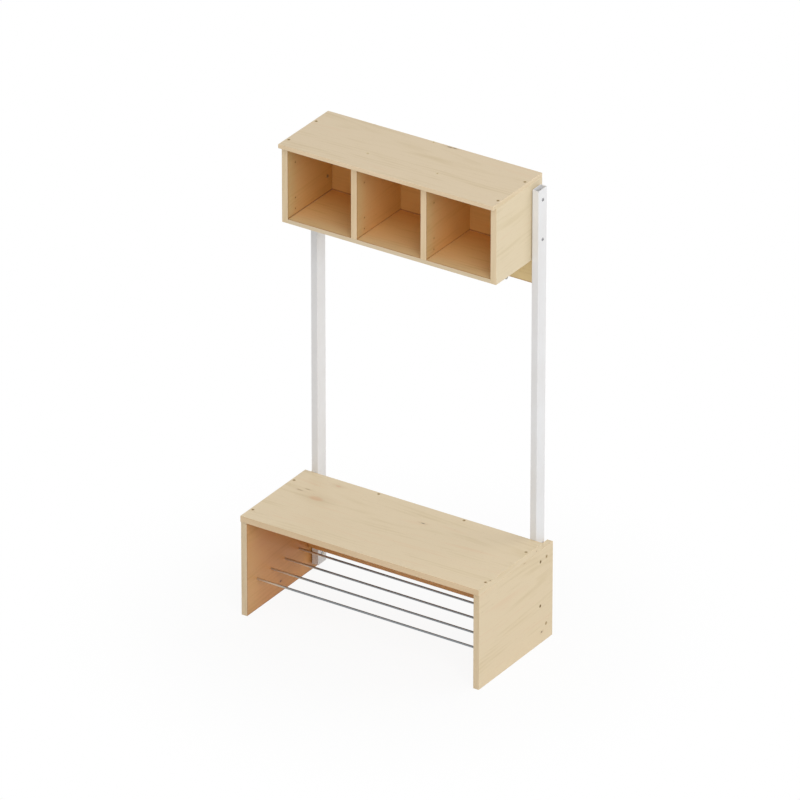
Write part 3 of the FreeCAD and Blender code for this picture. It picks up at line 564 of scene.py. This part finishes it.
    def draw_flaw(self, tree: NodeTree, colour: NodeSocket, flaw: Flaw) -> NodeSocket:
        """Draws one flaw: an eye in a faint halo, both drawn out along the grain.

        Args:
            tree: The material's tree.
            colour: The wood's colour so far.
            flaw: Its kind, its place and its size.

        Returns:
            The new colour.
        """
        tint, share, halo_share, length = flaw.kind.value
        place = add_node(tree, "TexCoord", {})
        offset = add_node(tree, "VectorMath", {0: place.outputs["Object"],
                                               1: flaw.centre(self.low, self.high)},
                          operation="SUBTRACT")
        stretch = [1 / flaw.radius] * 3
        stretch[self.along.value] /= length
        scaled = add_node(tree, "VectorMath", {0: offset.outputs[0], 1: tuple(stretch)}, operation="MULTIPLY")
        reach = add_node(tree, "VectorMath", {0: scaled.outputs[0]}, operation="LENGTH")
        wide = add_node(tree, "Math", {0: reach.outputs["Value"], 1: self.EYE_SHARE}, operation="MULTIPLY")
        halo = add_node(tree, "ValToRGB", {"Fac": wide.outputs[0]}, stops=self.HALO_FADE)
        eye = add_node(tree, "ValToRGB", {"Fac": reach.outputs["Value"]}, stops=self.EYE_FADE)
        colour = self.stain(tree, colour, halo.outputs[0], self.HALO_TINT, halo_share)
        return self.stain(tree, colour, eye.outputs[0], tint, share)


@dataclass(frozen=True)
class PowderCoat:
    """Steel tube with a white polyester powder coat, baked on.

    The powder flows to a fine orange peel, which breaks reflections up into a soft satin gloss.
    """

    # Orange peel is about 1 mm across.
    peel: float = 1.2 * MM
    peel_depth: float = 0.05 * MM
    # The coat's thickness, and with it its white, changes a little over this length.
    patch: float = 90 * MM
    tone: Stops = ((0.35, linear("#E5E4E4")), (0.65, linear("#E8E8E9")))
    gloss: Stops = ((0.3, grey(0.42)), (0.7, grey(0.34)))
    ior: float = 1.5

    def build(self) -> Material:
        """Builds the coat's material.

        Returns:
            The material.
        """
        material, tree, shader = new_material("white_powder_coated_steel")
        place = add_node(tree, "TexCoord", {})
        peel = add_node(tree, "TexNoise", {"Vector": place.outputs["Object"], "Scale": 1 / self.peel,
                                           "Detail": 2.0, "Roughness": 0.4})
        patch = add_node(tree, "TexNoise", {"Vector": place.outputs["Object"],
                                            "Scale": 1 / self.patch, "Detail": 3.0})
        colour = add_node(tree, "ValToRGB", {"Fac": patch.outputs["Fac"]}, stops=self.tone)
        gloss = add_node(tree, "ValToRGB", {"Fac": peel.outputs["Fac"]}, stops=self.gloss)
        bump = add_node(tree, "Bump", {"Strength": RELIEF, "Distance": self.peel_depth,
                                       "Height": peel.outputs["Fac"]})
        plug(tree, shader, {"Base Color": colour.outputs[0], "Roughness": gloss.outputs[0],
                            "IOR": self.ior, "Normal": bump.outputs["Normal"]})
        return material


@dataclass(frozen=True)
class Metal:
    """Bare or plated metal with fine marks from its making.

    Drawing leaves hairlines one way, and plating or casting a fine grain, so the gloss is stretched or
    clouded.
    """

    # Where the marks turn from dull to clear, and from rough to smooth, and by how much each way
    TONE_PLACES: ClassVar[tuple[float, float]] = (0.32, 0.62)
    GLOSS_PLACES: ClassVar[tuple[float, float]] = (0.3, 0.7)
    ROUGHER: ClassVar[float] = 0.08
    SMOOTHER: ClassVar[float] = 0.05

    name: str
    colour: str
    dull: str
    roughness: float
    mark: tuple[float, float, float] = (0.6 * MM, 0.6 * MM, 0.6 * MM)
    depth: float = 0.03 * MM

    def build(self) -> Material:
        """Builds the metal's material.

        Returns:
            The material.
        """
        material, tree, shader = new_material(self.name)
        place = add_node(tree, "TexCoord", {})
        scaled = add_node(tree, "VectorMath", {0: place.outputs["Object"],
                                               1: tuple(1 / size for size in self.mark)},
                          operation="MULTIPLY")
        marks = add_node(tree, "TexNoise", {"Vector": scaled.outputs[0], "Scale": 1.0,
                                            "Detail": 3.0, "Roughness": 0.6})
        tints = (linear(self.dull), linear(self.colour))
        colour = add_node(tree, "ValToRGB", {"Fac": marks.outputs["Fac"]},
                          stops=tuple(zip(self.TONE_PLACES, tints)))
        levels = (grey(self.roughness + self.ROUGHER), grey(self.roughness - self.SMOOTHER))
        gloss = add_node(tree, "ValToRGB", {"Fac": marks.outputs["Fac"]},
                         stops=tuple(zip(self.GLOSS_PLACES, levels)))
        bump = add_node(tree, "Bump", {"Strength": RELIEF, "Distance": self.depth,
                                       "Height": marks.outputs["Fac"]})
        plug(tree, shader, {"Base Color": self.brighten(tree, colour.outputs[0]), "Metallic": 1.0,
                            "Roughness": gloss.outputs[0], "Normal": bump.outputs["Normal"]})
        return material

    def brighten(self, tree: NodeTree, colour: NodeSocket) -> NodeSocket:
        """Leaves the metal as it is. A metal with paler places draws them here."""
        return colour


@dataclass(frozen=True)
class PaledMetal(Metal):
    """Metal that grows paler over a stretch of the row's width.

    On the rods this is a painted reflection of the lit left panel that they mirror, growing towards their
    left ends; the cover's screws grow paler towards its middle.
    """

    pale: str = "#C9BBA8"
    from_x: float = -240 * MM
    to_x: float = -300 * MM
    both_ways: bool = False

    def brighten(self, tree: NodeTree, colour: NodeSocket) -> NodeSocket:
        """Fades the metal to its paler tone.

        Args:
            tree: The material's tree.
            colour: The metal's colour so far.

        Returns:
            The new colour.
        """
        place = add_node(tree, "TexCoord", {})
        spot = add_node(tree, "SeparateXYZ", {0: place.outputs["Object"]})
        aside = spot.outputs[Axis.X.value]
        if self.both_ways:
            aside = add_node(tree, "Math", {0: aside}, operation="ABSOLUTE").outputs[0]
        fade = add_node(tree, "MapRange", {"Value": aside, "From Min": self.from_x, "From Max": self.to_x})
        return add_node(tree, "Mix", {"Factor": fade.outputs[0], 6: colour,
                                      7: linear(self.pale)}, data_type="RGBA").outputs[2]


class MetalFinish(Enum):
    """The row's metals, each made once and shared."""

    # Drawing hairlines along the rods spread the reflections of seat and floor into one grey. Their left ends
    # are drawn paler, a painted reflection of the lit left panel.
    ROD = PaledMetal("drawn_steel_rod", "#969B9F", "#7C8185", 0.46, mark=(40 * MM, 0.5 * MM, 0.5 * MM))
    # Yellow zinc heads drawn brown and dark: painted shade standing in for the shadow in their countersunk
    # recesses, so they read as brown dots in the pale wood.
    SHADED_SCREW_HEAD = Metal("steel_head_with_painted_shade", "#A08A63", "#86714E", 0.5)
    # Seat screws and frame bolts get a lighter brown, also painted shade of their recesses.
    LIGHTLY_SHADED_HEAD = Metal("steel_head_with_light_painted_shade", "#C4AE88", "#AA9570", 0.48)
    COVER_HEAD = PaledMetal("yellow_zinc_screw_head", "#C0AA80", "#A5906A", 0.45, pale="#D9C9A6",
                            from_x=250 * MM, to_x=200 * MM, both_ways=True)
    # Fresh yellow or clear zinc stays bright where no lacquer or hand reaches it.
    BRASSY = Metal("yellow_zinc_plated_steel", "#D2BC92", "#B7A17A", 0.45)
    BRIGHT = Metal("zinc_plated_steel", "#D4D4D2", "#BDBDBB", 0.38)
    # Tumbled stainless heads, drawn darker than bare steel as painted shade of their domes, read as mid grey
    # buttons on the white tubes.
    BUTTON_HEAD = Metal("stainless_steel_button_head", "#9A9A9C", "#7F7F81", 0.42)
    # The hooks are die cast and tumbled, which leaves a soft even sheen.
    CAST = Metal("cast_zinc_satin", "#B9B8B4", "#A2A19D", 0.42)


Metals = dict[MetalFinish, Material]


@dataclass(frozen=True)
class Nylon:
    """Moulded nylon discs, pale and slightly waxy, with a fine spark-eroded texture from the mould."""

    texture: float = 0.5 * MM
    texture_depth: float = 0.03 * MM
    tone: Stops = ((0.3, linear("#D2D1CC")), (0.7, linear("#DEDDD9")))
    roughness: float = 0.5
    ior: float = 1.53

    def build(self) -> Material:
        """Builds the nylon's material.

        Returns:
            The material.
        """
        material, tree, shader = new_material("moulded_nylon")
        place = add_node(tree, "TexCoord", {})
        texture = add_node(tree, "TexNoise", {"Vector": place.outputs["Object"],
                                              "Scale": 1 / self.texture, "Detail": 2.0})
        colour = add_node(tree, "ValToRGB", {"Fac": texture.outputs["Fac"]}, stops=self.tone)
        bump = add_node(tree, "Bump", {"Strength": RELIEF, "Distance": self.texture_depth,
                                       "Height": texture.outputs["Fac"]})
        plug(tree, shader, {"Base Color": colour.outputs[0], "Roughness": self.roughness,
                            "IOR": self.ior, "Normal": bump.outputs["Normal"]})
        return material


@dataclass(frozen=True)
class Beech:
    """Raw turned beech dowels, pinkish brown with short dark flecks along their length."""

    fleck: tuple[float, float, float] = (6 * MM, 0.7 * MM, 0.7 * MM)
    tone: Stops = ((0.35, linear("#A97B55")), (0.6, linear("#C99F78")))
    roughness: float = 0.7
    ior: float = 1.5

    def build(self) -> Material:
        """Builds the beech's material.

        Returns:
            The material.
        """
        material, tree, shader = new_material("turned_beech")
        place = add_node(tree, "TexCoord", {})
        scaled = add_node(tree, "VectorMath", {0: place.outputs["Object"],
                                               1: tuple(1 / size for size in self.fleck)},
                          operation="MULTIPLY")
        fleck = add_node(tree, "TexNoise", {"Vector": scaled.outputs[0], "Scale": 1.0, "Detail": 2.0})
        colour = add_node(tree, "ValToRGB", {"Fac": fleck.outputs["Fac"]}, stops=self.tone)
        plug(tree, shader, {"Base Color": colour.outputs[0], "Roughness": self.roughness, "IOR": self.ior})
        return material


@dataclass
class Board:
    """One maple board of the row: its node, its grain, the rooms that it looks into, its flaws and tone."""

    node: str
    along: Axis
    across: Axis
    seed: int
    rooms: tuple[Room, ...] = ()
    flaws: tuple[Flaw, ...] = ()
    tone: Tone = Tone()

    def dress(self) -> None:
        """Gives the board a maple of its own, so that no two boards share a figure."""
        low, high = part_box(self.node)
        finish = Maple(self.node, self.along, self.across, low, high, self.seed, self.rooms, self.flaws,
                       self.tone)
        wear(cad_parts[self.node], finish.build())


@dataclass
class Bench:
    """The low bench: seat, sides, back panel and shoe rods."""

    rods: int = 4
    # Painted bounce light and shade under the seat and on the back panel's front, at shares of the room's
    # depth
    inner_painted_light: Tones = ((0.08, "#F7D1A0"), (0.19, "#F6C896"), (0.32, "#F6C48D"), (0.60, "#F9C483"))
    panel_painted_light: Tones = ((0.0, "#FBD3A1"), (1.0, "#F8CE98"))
    side_tone: Tone = Tone("#DDCAA8", "#D4C09A", "#DCC4A1", ((Axis.Y, "#DDC7A4", "#D4BD97"),))
    seat_tone: Tone = Tone("#E5D2B0", "#DCC8A2", "#E4CCA8", ((Axis.Y, "#E1C6A0", "#D8BC94"),
                                                             (Axis.X, "#DDCAA8", "#D4C09A")))
    seat_flaws: tuple[Flaw, ...] = (
        Flaw(Mark.FAINT_STREAK, Face.TOP, (52 * MM, 207 * MM), 3.0 * MM),
        Flaw(Mark.FAINT_STREAK, Face.TOP, (68 * MM, 221 * MM), 2.6 * MM),
        Flaw(Mark.BLUSH, Face.TOP, (115 * MM, 190 * MM), 14 * MM),
        Flaw(Mark.BLUSH, Face.TOP, (127 * MM, 280 * MM), 5.5 * MM),
        Flaw(Mark.BARK_POCKET, Face.TOP, (428 * MM, 229 * MM), 2.2 * MM),
        Flaw(Mark.PIN_KNOT, Face.TOP, (747 * MM, 61 * MM), 1.8 * MM),
        Flaw(Mark.PIN_KNOT, Face.RIGHT, (282 * MM, 6 * MM), 1.5 * MM),
    )
    left_flaws: tuple[Flaw, ...] = (Flaw(Mark.PIN_KNOT, Face.RIGHT, (161 * MM, 33 * MM), 3.6 * MM),)
    right_flaws: tuple[Flaw, ...] = (
        Flaw(Mark.PIN_KNOT, Face.RIGHT, (307 * MM, 32.5 * MM), 3.0 * MM),
        Flaw(Mark.FAINT_STREAK, Face.RIGHT, (220 * MM, 278 * MM), 1.5 * MM),
    )

    def dress(self, metals: Metals) -> None:
        """Dresses the boards, rods and screws.

        Args:
            metals: The row's metals.
        """
        right_low, right_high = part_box("bench_side_right")
        left_low, left_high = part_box("bench_side_left")
        seat_low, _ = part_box("bench_top")
        panel_low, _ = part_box("bench_back_panel")
        under_seat = Room((left_high.x, left_low.y, left_low.z), (right_low.x, right_high.y, seat_low.z),
                          self.inner_painted_light)
        before_panel = Room(under_seat.low, (right_low.x, panel_low.y, seat_low.z), self.panel_painted_light)
        boards = [
            Board("bench_top", Axis.X, Axis.Y, 3, (under_seat,), self.seat_flaws, self.seat_tone),
            Board("bench_side_left", Axis.Y, Axis.Z, 7, (under_seat,), self.left_flaws, self.side_tone),
            Board("bench_side_right", Axis.Y, Axis.Z, 12, (under_seat,), self.right_flaws, self.side_tone),
            Board("bench_back_panel", Axis.X, Axis.Z, 5, (before_panel,)),
        ]
        for board in boards:
            board.dress()
        for number in range(self.rods):
            wear(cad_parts[f"shoe_rod_{number + 1}"], metals[MetalFinish.ROD])
        for node, metal in (("bench_top_screws", MetalFinish.LIGHTLY_SHADED_HEAD),
                            ("bench_panel_screws", MetalFinish.SHADED_SCREW_HEAD)):
            wear(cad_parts[node], metals[metal])


@dataclass
class BoxShelf:
    """The box of three compartments with its long back board."""

    dividers: int = 2
    # How far the room of painted bounce light and shade reaches into the side boards, which softens the
    # painted corner shade at their feet
    corner_ease: float = 2 * MM
    # Hinge holes of one wall, from the box's front, its floor and the underside of its cover
    hinge_setback: float = 37 * MM
    hinge_rises: tuple[float, ...] = (17 * MM, 49 * MM)
    hinge_drops: tuple[float, ...] = (58 * MM, 26 * MM)
    hinge_rim: float = 2.7 * MM
    # Painted bounce light and shade in the compartments, on walls, floor and back board, at shares of their
    # depth
    wall_painted_light: Tones = ((0.06, "#F3E2C0"), (0.22, "#F8D8AE"), (0.40, "#FCD5A2"), (0.55, "#FFD79E"),
                         (0.95, "#FFDA91"))
    floor_painted_light: Tones = ((0.06, "#FFF5DB"), (0.22, "#FFE9C4"), (0.40, "#FFE5B7"), (0.70, "#FFDCA0"),
                          (0.95, "#FFD490"))
    back_painted_light: Tones = ((0.0, "#FFDB9E"), (1.0, "#FFDB9E"))
    # Painted light on the hook board below the box
    under_painted_light: Tones = ((0.0, "#FFFBDE"), (1.0, "#FFFBDE"))
    side_tone: Tone = Tone("#DDCCAB", "#D4C29D", "#DCC7A5", ((Axis.Y, "#E4CDA8", "#DBC39B"),))
    divider_tone: Tone = Tone(bands=((Axis.Y, "#E7CDA7", "#DEC39A"),))
    cover_tone: Tone = Tone(bands=((Axis.Y, "#EAD2B0", "#E1C8A2"),))
    floor_tone: Tone = Tone(pale="#E4CFAE", bands=((Axis.Y, "#DECAAA", "#D5C09C"),))
    back_tone: Tone = Tone("#E6D0AC", "#DCC39B", "#E4CAA6")
    cover_flaws: tuple[Flaw, ...] = (
        Flaw(Mark.BARK_POCKET, Face.TOP, (385 * MM, 230 * MM), 3.0 * MM),
        Flaw(Mark.BARK_POCKET, Face.TOP, (399 * MM, 232 * MM), 2.4 * MM),
    )

    def hinge_rims(self, face: Face, floor: float, cover: float) -> tuple[Flaw, ...]:
        """Draws the dark rims that the drill leaves round a wall's hinge holes.

        Args:
            face: The wall's face.
            floor: Top of the box's floor, from the board's foot.
            cover: Underside of the cover, from the board's foot.

        Returns:
            One mark to a hole.
        """
        heights = [floor + rise for rise in self.hinge_rises] + [cover - drop for drop in self.hinge_drops]
        return tuple(Flaw(Mark.DRILLED_RIM, face, (self.hinge_setback, height), self.hinge_rim)
                     for height in heights)

    def dress(self, metals: Metals) -> None:
        """Dresses the boards, screws and dowels.

        Args:
            metals: The row's metals.
        """
        left_low, left_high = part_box("shelf_side_left")
        right_low, right_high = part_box("shelf_side_right")
        floor_low, floor_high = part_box("shelf_bottom")
        cover_low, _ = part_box("shelf_top")
        back_low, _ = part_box("shelf_back_panel")
        room = Room((left_high.x - self.corner_ease, left_low.y, floor_high.z),
                    (right_low.x + self.corner_ease, left_high.y, cover_low.z), self.wall_painted_light)
        floor_room = replace(room, tones=self.floor_painted_light)
        back_room = replace(room, tones=self.back_painted_light)
        under = Room((left_low.x, left_low.y, back_low.z), (right_high.x, back_low.y, floor_low.z),
                     self.under_painted_light)
        rise, drop = floor_high.z - left_low.z, cover_low.z - left_low.z
        divider_drop = cover_low.z - floor_high.z
        divider_rims = (self.hinge_rims(Face.LEFT, 0, divider_drop)
                        + self.hinge_rims(Face.RIGHT, 0, divider_drop))
        boards = [
            Board("shelf_top", Axis.X, Axis.Y, 21, (room,), self.cover_flaws, self.cover_tone),
            Board("shelf_bottom", Axis.X, Axis.Y, 24, (floor_room,), tone=self.floor_tone),
            Board("shelf_side_left", Axis.Y, Axis.Z, 27, (room,), self.hinge_rims(Face.RIGHT, rise, drop),
                  self.side_tone),
            Board("shelf_side_right", Axis.Y, Axis.Z, 31, (room,), self.hinge_rims(Face.LEFT, rise, drop),
                  self.side_tone),
            Board("shelf_back_panel", Axis.X, Axis.Z, 36, (back_room, under), tone=self.back_tone),
        ]
        boards += [Board(f"shelf_divider_{number + 1}", Axis.Y, Axis.Z, 41 + 4 * number, (room,),
                         divider_rims, self.divider_tone) for number in range(self.dividers)]
        for board in boards:
            board.dress()
        for node, metal in (("shelf_top_screws", MetalFinish.COVER_HEAD),
                            ("shelf_divider_screws", MetalFinish.BRASSY),
                            ("shelf_back_screws", MetalFinish.BRASSY)):
            wear(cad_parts[node], metals[metal])
        wear(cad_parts["shelf_dowels"], Beech().build())


@dataclass
class Uprights:
    """The two steel tubes, with the bolts, nuts and spacers that hold them."""

    def dress(self, metals: Metals) -> None:
        """Dresses the tubes and their fasteners.

        Args:
            metals: The row's metals.
        """
        coat = PowderCoat().build()
        for node in ("upright_left", "upright_right"):
            wear(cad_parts[node], coat)
        for node, metal in (("shelf_frame_bolts", MetalFinish.BUTTON_HEAD),
                            ("bench_frame_nuts", MetalFinish.BRIGHT),
                            ("bench_frame_bolts", MetalFinish.LIGHTLY_SHADED_HEAD),
                            ("shelf_sleeve_nuts", MetalFinish.BRASSY)):
            wear(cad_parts[node], metals[metal])
        nylon = Nylon().build()
        for node in ("bench_frame_spacers", "shelf_frame_spacers"):
            wear(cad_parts[node], nylon)


@dataclass
class CoatHooks:
    """The cast double hooks. Casting rounds every inner corner, so each gets a mesh with soft fillets."""

    hooks: int = 3
    voxel: float = 0.6 * MM
    smoothing: int = 6
    smoothing_share: float = 0.5

    def build(self, metals: Metals) -> None:
        """Builds the castings over their nodes and dresses them and their screws.

        Args:
            metals: The row's metals.
        """
        for number in range(self.hooks):
            node = f"coat_hook_{number + 1}"
            casting = self.soften(node)
            wear(casting, metals[MetalFinish.CAST])
            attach(casting, "root")
            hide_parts(node)
        wear(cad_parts["coat_hook_screws"], metals[MetalFinish.BRIGHT])

    def soften(self, node: str) -> Object:
        """Copies a node's mesh, and rounds its edges and inner corners as a casting has them.

        Args:
            node: The CAD node's name.

        Returns:
            The new object.
        """
        casting = new_object(f"{node}_casting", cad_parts[node].data.copy())
        skin = casting.modifiers.new("skin", "REMESH")
        skin.mode = "VOXEL"
        skin.voxel_size = self.voxel
        smooth = casting.modifiers.new("fillets", "SMOOTH")
        smooth.iterations = self.smoothing
        smooth.factor = self.smoothing_share
        graph = bpy.context.evaluated_depsgraph_get()
        solid = bpy.data.meshes.new_from_object(casting.evaluated_get(graph))
        casting.modifiers.clear()
        casting.data = solid
        for polygon in solid.polygons:
            polygon.use_smooth = True
        return casting


@dataclass(frozen=True)
class Lamp:
    """A square soft box: where it stands as seen from the object, its power in watts and its size."""

    name: str
    direction: tuple[float, float, float]
    power: float
    side: float = 6.0
    distance: float = 9.0


@dataclass
class Studio:
    """Pale floor, soft lamps and a long lens, far away. Angles are degrees."""

    azimuth: float = 33.117
    elevation: float = 27.749
    roll: float = 0.0346
    distance: float = 28.2018
    target: tuple[float, float, float] = (29.673 * MM, -28.5 * MM, 695.048 * MM)
    # Pixels of the picture that one metre takes at the target
    image_scale: float = 0.381625 / MM
    sensor: float = 36.0
    clip: tuple[float, float] = (1.0, 100.0)
    floor_radius: float = 30.0
    floor_corners: int = 96
    floor_colour: str = "#F2F2F1"
    floor_roughness: float = 0.9
    floor_gloss: float = 0.1
    # Share of plain white in the floor near the object, and the distances over which it grows to all
    white_share: float = 0.91
    white_from: float = 0.3
    white_to: float = 1.0
    dome: float = 0.444
    lamps: tuple[Lamp, ...] = (
        Lamp("key", (0.7, -0.7, 0.8), 379),
        Lamp("top", (-0.1, -0.1, 1.0), 51),
        Lamp("back", (0.8, 0.7, 0.5), 186),
    )

    def build(self) -> None:
        """Builds the floor, the world, the lamps and the camera."""
        self.build_floor()
        self.build_world()
        for lamp in self.lamps:
            self.add_lamp(lamp)
        self.build_camera()
        bpy.context.scene.view_settings.view_transform = "Standard"
        LOG.info("studio built")

    def build_floor(self) -> None:
        """Builds a round pale floor that fades to white away from the object."""
        mesh = bpy.data.meshes.new("floor")
        turns = [math.tau * corner / self.floor_corners for corner in range(self.floor_corners)]
        rim = [(self.floor_radius * math.cos(turn), self.floor_radius * math.sin(turn), 0.0)
               for turn in turns]
        mesh.from_pydata(rim, [], [list(range(self.floor_corners))])
        floor = new_object("floor", mesh)
        material, tree, shader = new_material("pale_floor")
        plug(tree, shader, {"Base Color": linear(self.floor_colour), "Roughness": self.floor_roughness,
                            "Specular IOR Level": self.floor_gloss})
        place = add_node(tree, "TexCoord", {})
        away = add_node(tree, "VectorMath", {0: place.outputs["Object"]}, operation="LENGTH")
        fade = add_node(tree, "MapRange", {"Value": away.outputs["Value"],
                                           "From Min": self.white_from, "From Max": self.white_to,
                                           "To Min": self.white_share, "To Max": 1.0},
                        interpolation_type="SMOOTHSTEP")
        self.show_white(tree, shader, fade.outputs[0])
        mesh.materials.append(material)

    def seen(self, tree: NodeTree) -> NodeSocket:
        """Finds the rays of the camera, of reflections and of clear things.

        Args:
            tree: The tree that asks.

        Returns:
            1 for such a ray and 0 for the light that falls on the object.
        """
        rays = add_node(tree, "LightPath", {})
        either = add_node(tree, "Math", {0: rays.outputs["Is Camera Ray"],
                                         1: rays.outputs["Is Glossy Ray"]}, operation="ADD")
        return add_node(tree, "Math", {0: either.outputs[0], 1: rays.outputs["Is Transmission Ray"]},
                        operation="ADD", use_clamp=True).outputs[0]

    def show_white(self, tree: NodeTree, shader: Node, share: NodeSocket) -> None:
        """Mixes plain white into what the camera and reflections see of the floor, and adds no light.

        Args:
            tree: The floor's tree.
            shader: The lit surface.
            share: How much white is mixed in.
        """
        amount = add_node(tree, "Math", {0: self.seen(tree), 1: share}, operation="MULTIPLY")
        white = add_node(tree, "Emission", {"Color": grey(1), "Strength": 1.0})
        mixed = add_node(tree, "MixShader", {0: amount.outputs[0], 1: shader.outputs["BSDF"],
                                             2: white.outputs[0]})
        output = next(node for node in tree.nodes if node.type == "OUTPUT_MATERIAL")
        plug(tree, output, {"Surface": mixed.outputs[0]})

    def build_world(self) -> None:
        """Builds a soft grey dome that the camera and reflections see as white."""
        world = bpy.data.worlds.new("studio")
        world.use_nodes = True
        tree = world.node_tree
        tree.nodes.clear()
        dome = add_node(tree, "Background", {"Color": grey(1), "Strength": self.dome})
        white = add_node(tree, "Background", {"Color": grey(1), "Strength": 1.0})
        mixed = add_node(tree, "MixShader", {0: self.seen(tree), 1: dome.outputs[0], 2: white.outputs[0]})
        add_node(tree, "OutputWorld", {"Surface": mixed.outputs[0]})
        bpy.context.scene.world = world

    def add_lamp(self, lamp: Lamp) -> None:
        """Adds a soft box that faces the middle of the object.

        Args:
            lamp: Its place, power and size.
        """
        data = bpy.data.lights.new(f"{lamp.name}_lamp", "AREA")
        data.shape = "SQUARE"
        data.size = lamp.side
        data.energy = lamp.power
        holder = new_object(f"{lamp.name}_lamp", data)
        toward = Vector(lamp.direction).normalized()
        holder.location = Vector(self.target) + toward * lamp.distance
        holder.rotation_mode = "QUATERNION"
        holder.rotation_quaternion = (-toward).to_track_quat("-Z", "Y")

    def build_camera(self) -> None:
        """Builds the camera at the photograph's angle, far away with a long lens."""
        turn, rise = math.radians(self.azimuth), math.radians(self.elevation)
        back = Vector((math.sin(turn) * math.cos(rise), -math.cos(turn) * math.cos(rise), math.sin(rise)))
        data = bpy.data.cameras.new("camera")
        data.sensor_width = self.sensor
        data.lens = self.image_scale * self.distance * self.sensor / IMAGE_SIDE
        data.clip_start, data.clip_end = self.clip
        camera = new_object("camera", data)
        camera.location = Vector(self.target) + back * self.distance
        camera.rotation_mode = "QUATERNION"
        level = (-back).to_track_quat("-Z", "Y")
        lean = Matrix.Rotation(math.radians(self.roll), 3, "Z").to_quaternion()
        camera.rotation_quaternion = level @ lean
        bpy.context.scene.camera = camera


def main() -> None:
    """Builds and dresses every sub-assembly, then the studio."""
    logging.basicConfig(level=logging.INFO, format="%(name)s: %(message)s")
    metals = {finish: finish.value.build() for finish in MetalFinish}
    Bench().dress(metals)
    BoxShelf().dress(metals)
    Uprights().dress(metals)
    CoatHooks().build(metals)
    Studio().build()


if __name__ == "__main__":
    main()
